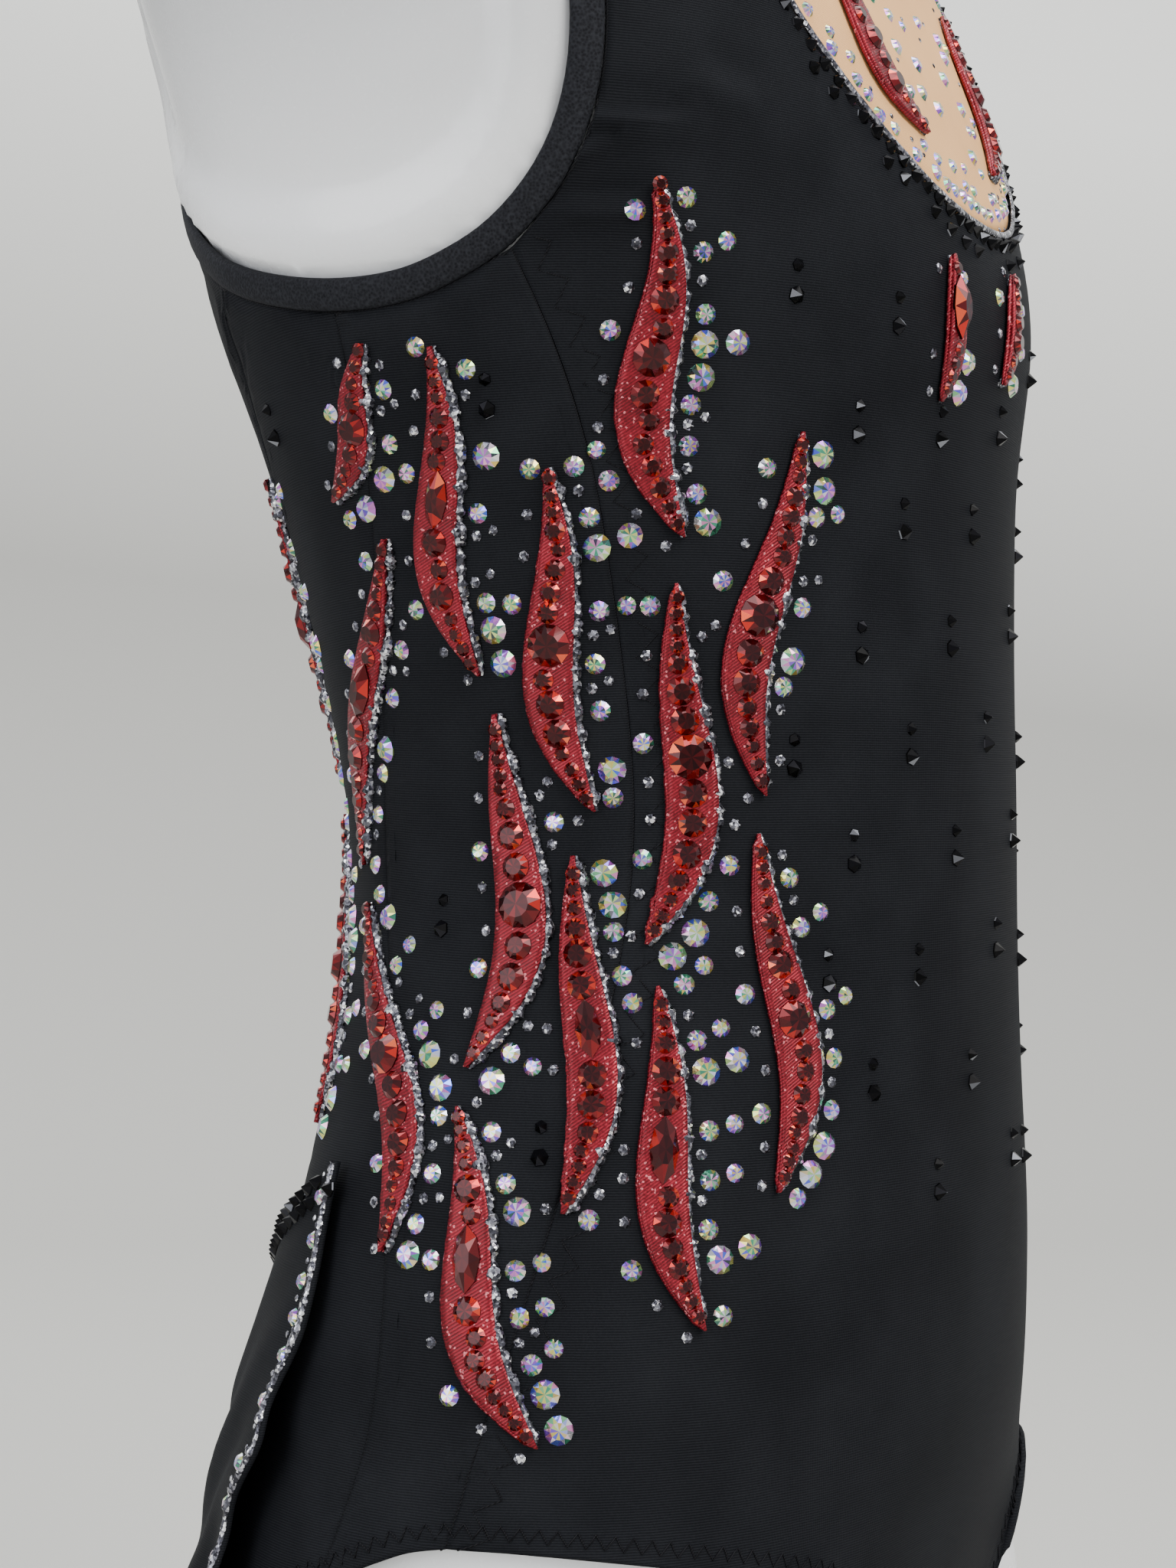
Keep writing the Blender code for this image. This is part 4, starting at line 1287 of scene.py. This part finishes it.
neckVary = (0.92, 1.08)
neckRows = (
    # tray, shape, radius, distance from the seam, pitch and jitter in mm, share left out, cloth
    ("jetStones", "spike", 1.95, 3.6, 5.0, 0.4, 0.0, skin),
    ("jetStones", "spike", 1.8, 8.2, 6.4, 0.9, 0.25, skin),
    ("auroraStones", "round", 2.0, -4.4, 5.2, 0.6, 0.2, yokeTree),
    ("auroraStones", "round", 1.8, -9.0, 6.2, 1.2, 0.3, yokeTree),
    ("silverDots", "dot", 0.7, -7.0, 5.0, 1.0, 0.3, yokeTree),
)
for tray, shape, radius, offset, pitch, jitter, skip, tree in neckRows:
    fine = resampled(neckRun, pitch * mm)
    for index in range(1, len(fine) - 1):
        if dice.random() < skip:
            continue
        point, normal, ahead, side = frameAt(fine, index, tree)
        across = offset * mm + dice.uniform(-jitter * mm, jitter * mm)
        spot = point + side * across + ahead * dice.uniform(-jitter * mm, jitter * mm)
        spot, normal = nearSkin(spot, tree)
        tryStone(tray, shape, spot, normal, radius * mm * dice.uniform(*neckVary))

scatter = {
    "tries": 230, "angle": 52, "low": 486, "rise": 90, "bias": 1.5, "radii": (0.7, 1.6, 2.0, 2.3),
    "space": 0.8 * mm,
}
for attempt in range(scatter["tries"]):
    angle = dice.uniform(-scatter["angle"], scatter["angle"])
    height = scatter["low"] + scatter["rise"] * dice.random() ** scatter["bias"]
    spot, normal = onSkin(angle, height, yokeTree)
    if spot is None:
        continue
    radius = dice.choice(scatter["radii"]) * mm
    if radius < mm:
        tryStone("silverDots", "dot", spot, normal, radius)
    elif isFree(spot, radius + scatter["space"]):
        setStone("auroraStones", "round", spot, normal, radius)


# trims on the skirt

skirtTree = treeOf(skirtPiece)
skirtTrim = {
    "aside": 0.4 * mm, "lowest": 172 * mm, "bead": 0.95 * mm, "beadIn": 1.4 * mm, "beadUp": 0.1 * mm,
    "step": 0.8 * mm, "ragged": 0.8, "wideScale": 420, "grain": 0.5, "grainScale": 1500,
    "every": 6, "first": 4, "stoneNear": 4.5, "stoneFar": 6.5, "stone": 2.1 * mm, "dot": 0.8 * mm,
    "conePitch": 4.6 * mm, "coneShift": 2.3 * mm, "cone": 2.0 * mm, "coneRows": (2.0 * mm, 6.2 * mm),
}


def skirtRuns(sign):
    # the skirt's top seam and its free front edge on one side
    run = chained(skirtPiece.data, lambda point: point.x * sign > skirtTrim["aside"])
    if run[0].z < run[-1].z:
        run.reverse()
    top = max(range(len(run)), key=lambda index: run[index].z)
    low = [index for index in range(top, len(run) - 1) if run[index].z < skirtTrim["lowest"]]

    def bend(index):
        return (run[index] - run[index - 1]).angle(run[index + 1] - run[index])

    corner = max(low, key=bend)
    return run[: top + 1], run[top: corner + 1]


edgeRuns = []
for side, sign in sides.items():
    seam, edge = skirtRuns(sign)
    fine = resampled(edge, skirtTrim["step"])
    made = []
    for index in range(len(fine)):
        point, normal, ahead, away = frameAt(fine, index, skirtTree)
        inward = away if away.y > 0 else -away
        spot, normal = nearSkin(point + inward * skirtTrim["beadIn"], skirtTree)
        grain = skirtTrim["grain"] * noise.noise(point * skirtTrim["grainScale"])
        width = 1 + skirtTrim["ragged"] * (noise.noise(point * skirtTrim["wideScale"]) + grain)
        made.append((*(spot + normal * skirtTrim["beadUp"]), width))
        turn, rest = divmod(index, skirtTrim["every"])
        if rest == skirtTrim["first"]:
            inside = dice.uniform(skirtTrim["stoneNear"], skirtTrim["stoneFar"]) * mm
            spot, normal = nearSkin(point + inward * inside, skirtTree)
            if turn % 2:
                tryStone("auroraStones", "round", spot, normal, skirtTrim["stone"])
            else:
                tryStone("silverDots", "dot", spot, normal, skirtTrim["dot"])
    edgeRuns.append(made)
    for shift, offset in enumerate(skirtTrim["coneRows"]):
        steps = resampled(seam, skirtTrim["conePitch"])
        for index in range(1 + shift, len(steps) - 1):
            point, normal, ahead, away = frameAt(steps, index, skirtTree)
            down = away if away.z < 0 else -away
            along = ahead * shift * skirtTrim["coneShift"]
            spot, normal = nearSkin(point + down * offset + along, skirtTree)
            tryStone("jetStones", "spike", spot, normal, skirtTrim["cone"])
tube("skirtBead", edgeRuns, skirtTrim["bead"], "silver", "silver_glitter", 6)

trayFacts = {
    "redStones": ("siam", "red_foil"), "auroraStones": ("aurora", "silver_glitter"),
    "jetStones": ("jet", "black_binding"), "silverDots": ("silver", "silver_glitter"),
}
for tray, work in trays.items():
    finish, slot = trayFacts[tray]
    mesh = bpy.data.meshes.new(tray)
    mesh.from_pydata(work["points"], [], work["faces"])
    shades = []
    for face, shade in zip(work["faces"], work["shades"]):
        shades += [shade] * len(face)
    mesh.attributes.new("shade", "FLOAT", "CORNER").data.foreach_set("value", shades)
    addMesh(mesh, tray, finish, slot)
    for polygon in mesh.polygons:
        polygon.use_smooth = False
    print(tray, len(mesh.polygons))


# floor, backdrop, lights and camera

studio = {
    # the wall's colour ramp is painted light and shade: dark across the middle, light at the top
    "wall": [(0.0, (0.50, 0.495, 0.465)), (0.42, (0.43, 0.425, 0.40)), (0.95, (0.96, 0.96, 0.92))],
    "wallTop": 1.25, "wallFar": 2.3, "wallHigh": 4.0, "half": 4.0, "curve": 0.9, "floorDrop": 0.3 * mm,
    "camera": 0.7, "turn": 26, "aside": 0.0235, "height": 0.349, "depth": -0.01363, "lens": 63.281,
    "slack": 0.01, "sideways": 0.12, "cloudScale": 1.4, "cloudy": 0.05,
    "aim": 0.35, "sky": (0.93, 0.95, 1.0), "skyPower": 0.92, "sensor": 36,
}


def backdropWithPaintedLight():
    # painted light and shade: the wall is lighter towards its top and its right side, with a darker band at
    # middle height
    made = paint("backdrop", 0.9, Specular_IOR_Level=0.1)
    spot = made.place()
    aside = made.axis(spot, "X") * math.sin(turn) - made.axis(spot, "Y") * math.cos(turn)
    share = made.axis(spot, "Z") / studio["wallTop"] + aside * studio["sideways"]
    share = share + made.clouds(studio["cloudScale"], 1) * studio["cloudy"]
    made.set("Base Color", made.ramp(share, studio["wall"]))
    return made.material


turn = math.radians(studio["turn"])
facing = Vector((math.cos(turn), math.sin(turn), 0))
toRight = Vector((math.sin(turn), -math.cos(turn), 0))
sweep = bmesh.new()
bmesh.ops.create_grid(sweep, x_segments=1, y_segments=1, size=studio["half"])
bmesh.ops.translate(sweep, verts=sweep.verts, vec=(studio["wallFar"] - studio["half"], 0, 0))
farthest = studio["wallFar"] - studio["slack"]
back = [edge for edge in sweep.edges if all(vert.co.x > farthest for vert in edge.verts)]
raised = bmesh.ops.extrude_edge_only(sweep, edges=back)["geom"]
raised = [item for item in raised if isinstance(item, bmesh.types.BMVert)]
bmesh.ops.translate(sweep, verts=raised, vec=(0, 0, studio["wallHigh"]))
bend = [
    edge for edge in sweep.edges
    if all(vert.co.x > farthest and vert.co.z < studio["slack"] for vert in edge.verts)
]
bmesh.ops.bevel(
    sweep, geom=bend, offset=studio["curve"], affect="EDGES", segments=24, profile=0.5, material=-1,
)
bmesh.ops.rotate(sweep, verts=sweep.verts, cent=(0, 0, 0), matrix=Matrix.Rotation(turn, 3, "Z"))
bmesh.ops.translate(sweep, verts=sweep.verts, vec=(0, 0, -studio["floorDrop"]))
bmesh.ops.recalc_face_normals(sweep, faces=sweep.faces)
sweepMesh = bpy.data.meshes.new("backdrop")
sweep.to_mesh(sweepMesh)
sweep.free()
for polygon in sweepMesh.polygons:
    polygon.use_smooth = True
sweepMesh.materials.append(backdropWithPaintedLight())
linked("backdrop", sweepMesh)

lamps = (
    # name, place along the view, to the right, height, size, power, colour
    ("keyLamp", -1.4, 1.3, 1.8, 1.5, 54, (1.0, 0.98, 0.95)),
    ("fillLamp", -1.3, -1.6, 1.0, 1.6, 24, (0.95, 0.97, 1.0)),
    ("topLamp", 0.1, 0.0, 2.4, 1.6, 44, (1.0, 1.0, 1.0)),
    ("backLamp", 1.2, -1.3, 1.6, 1.2, 9, (0.95, 0.97, 1.0)),
)
for name, along, right, high, size, power, colour in lamps:
    data = bpy.data.lights.new(name, "AREA")
    data.shape = "SQUARE"
    data.size = size
    data.energy = power
    data.color = colour
    lamp = linked(name, data)
    lamp.location = facing * along + toRight * right + Vector((0, 0, high))
    towards = Vector((0, 0, studio["aim"])) - lamp.location
    lamp.rotation_euler = towards.to_track_quat("-Z", "Y").to_euler()

world = bpy.data.worlds.new("softLight")
world.use_nodes = True
sky = world.node_tree.nodes["Background"]
sky.inputs["Color"].default_value = solid(*studio["sky"])
sky.inputs["Strength"].default_value = studio["skyPower"]
bpy.context.scene.world = world

eye = bpy.data.cameras.new("photoCamera")
eye.sensor_fit = "VERTICAL"
eye.sensor_height = studio["sensor"]
eye.lens = studio["lens"]
camera = linked("photoCamera", eye)
camera.location = (
    -facing * studio["camera"] - toRight * studio["aside"] + Vector((0, studio["depth"], studio["height"]))
)
camera.rotation_euler = facing.to_track_quat("-Z", "Y").to_euler()
bpy.context.scene.camera = camera
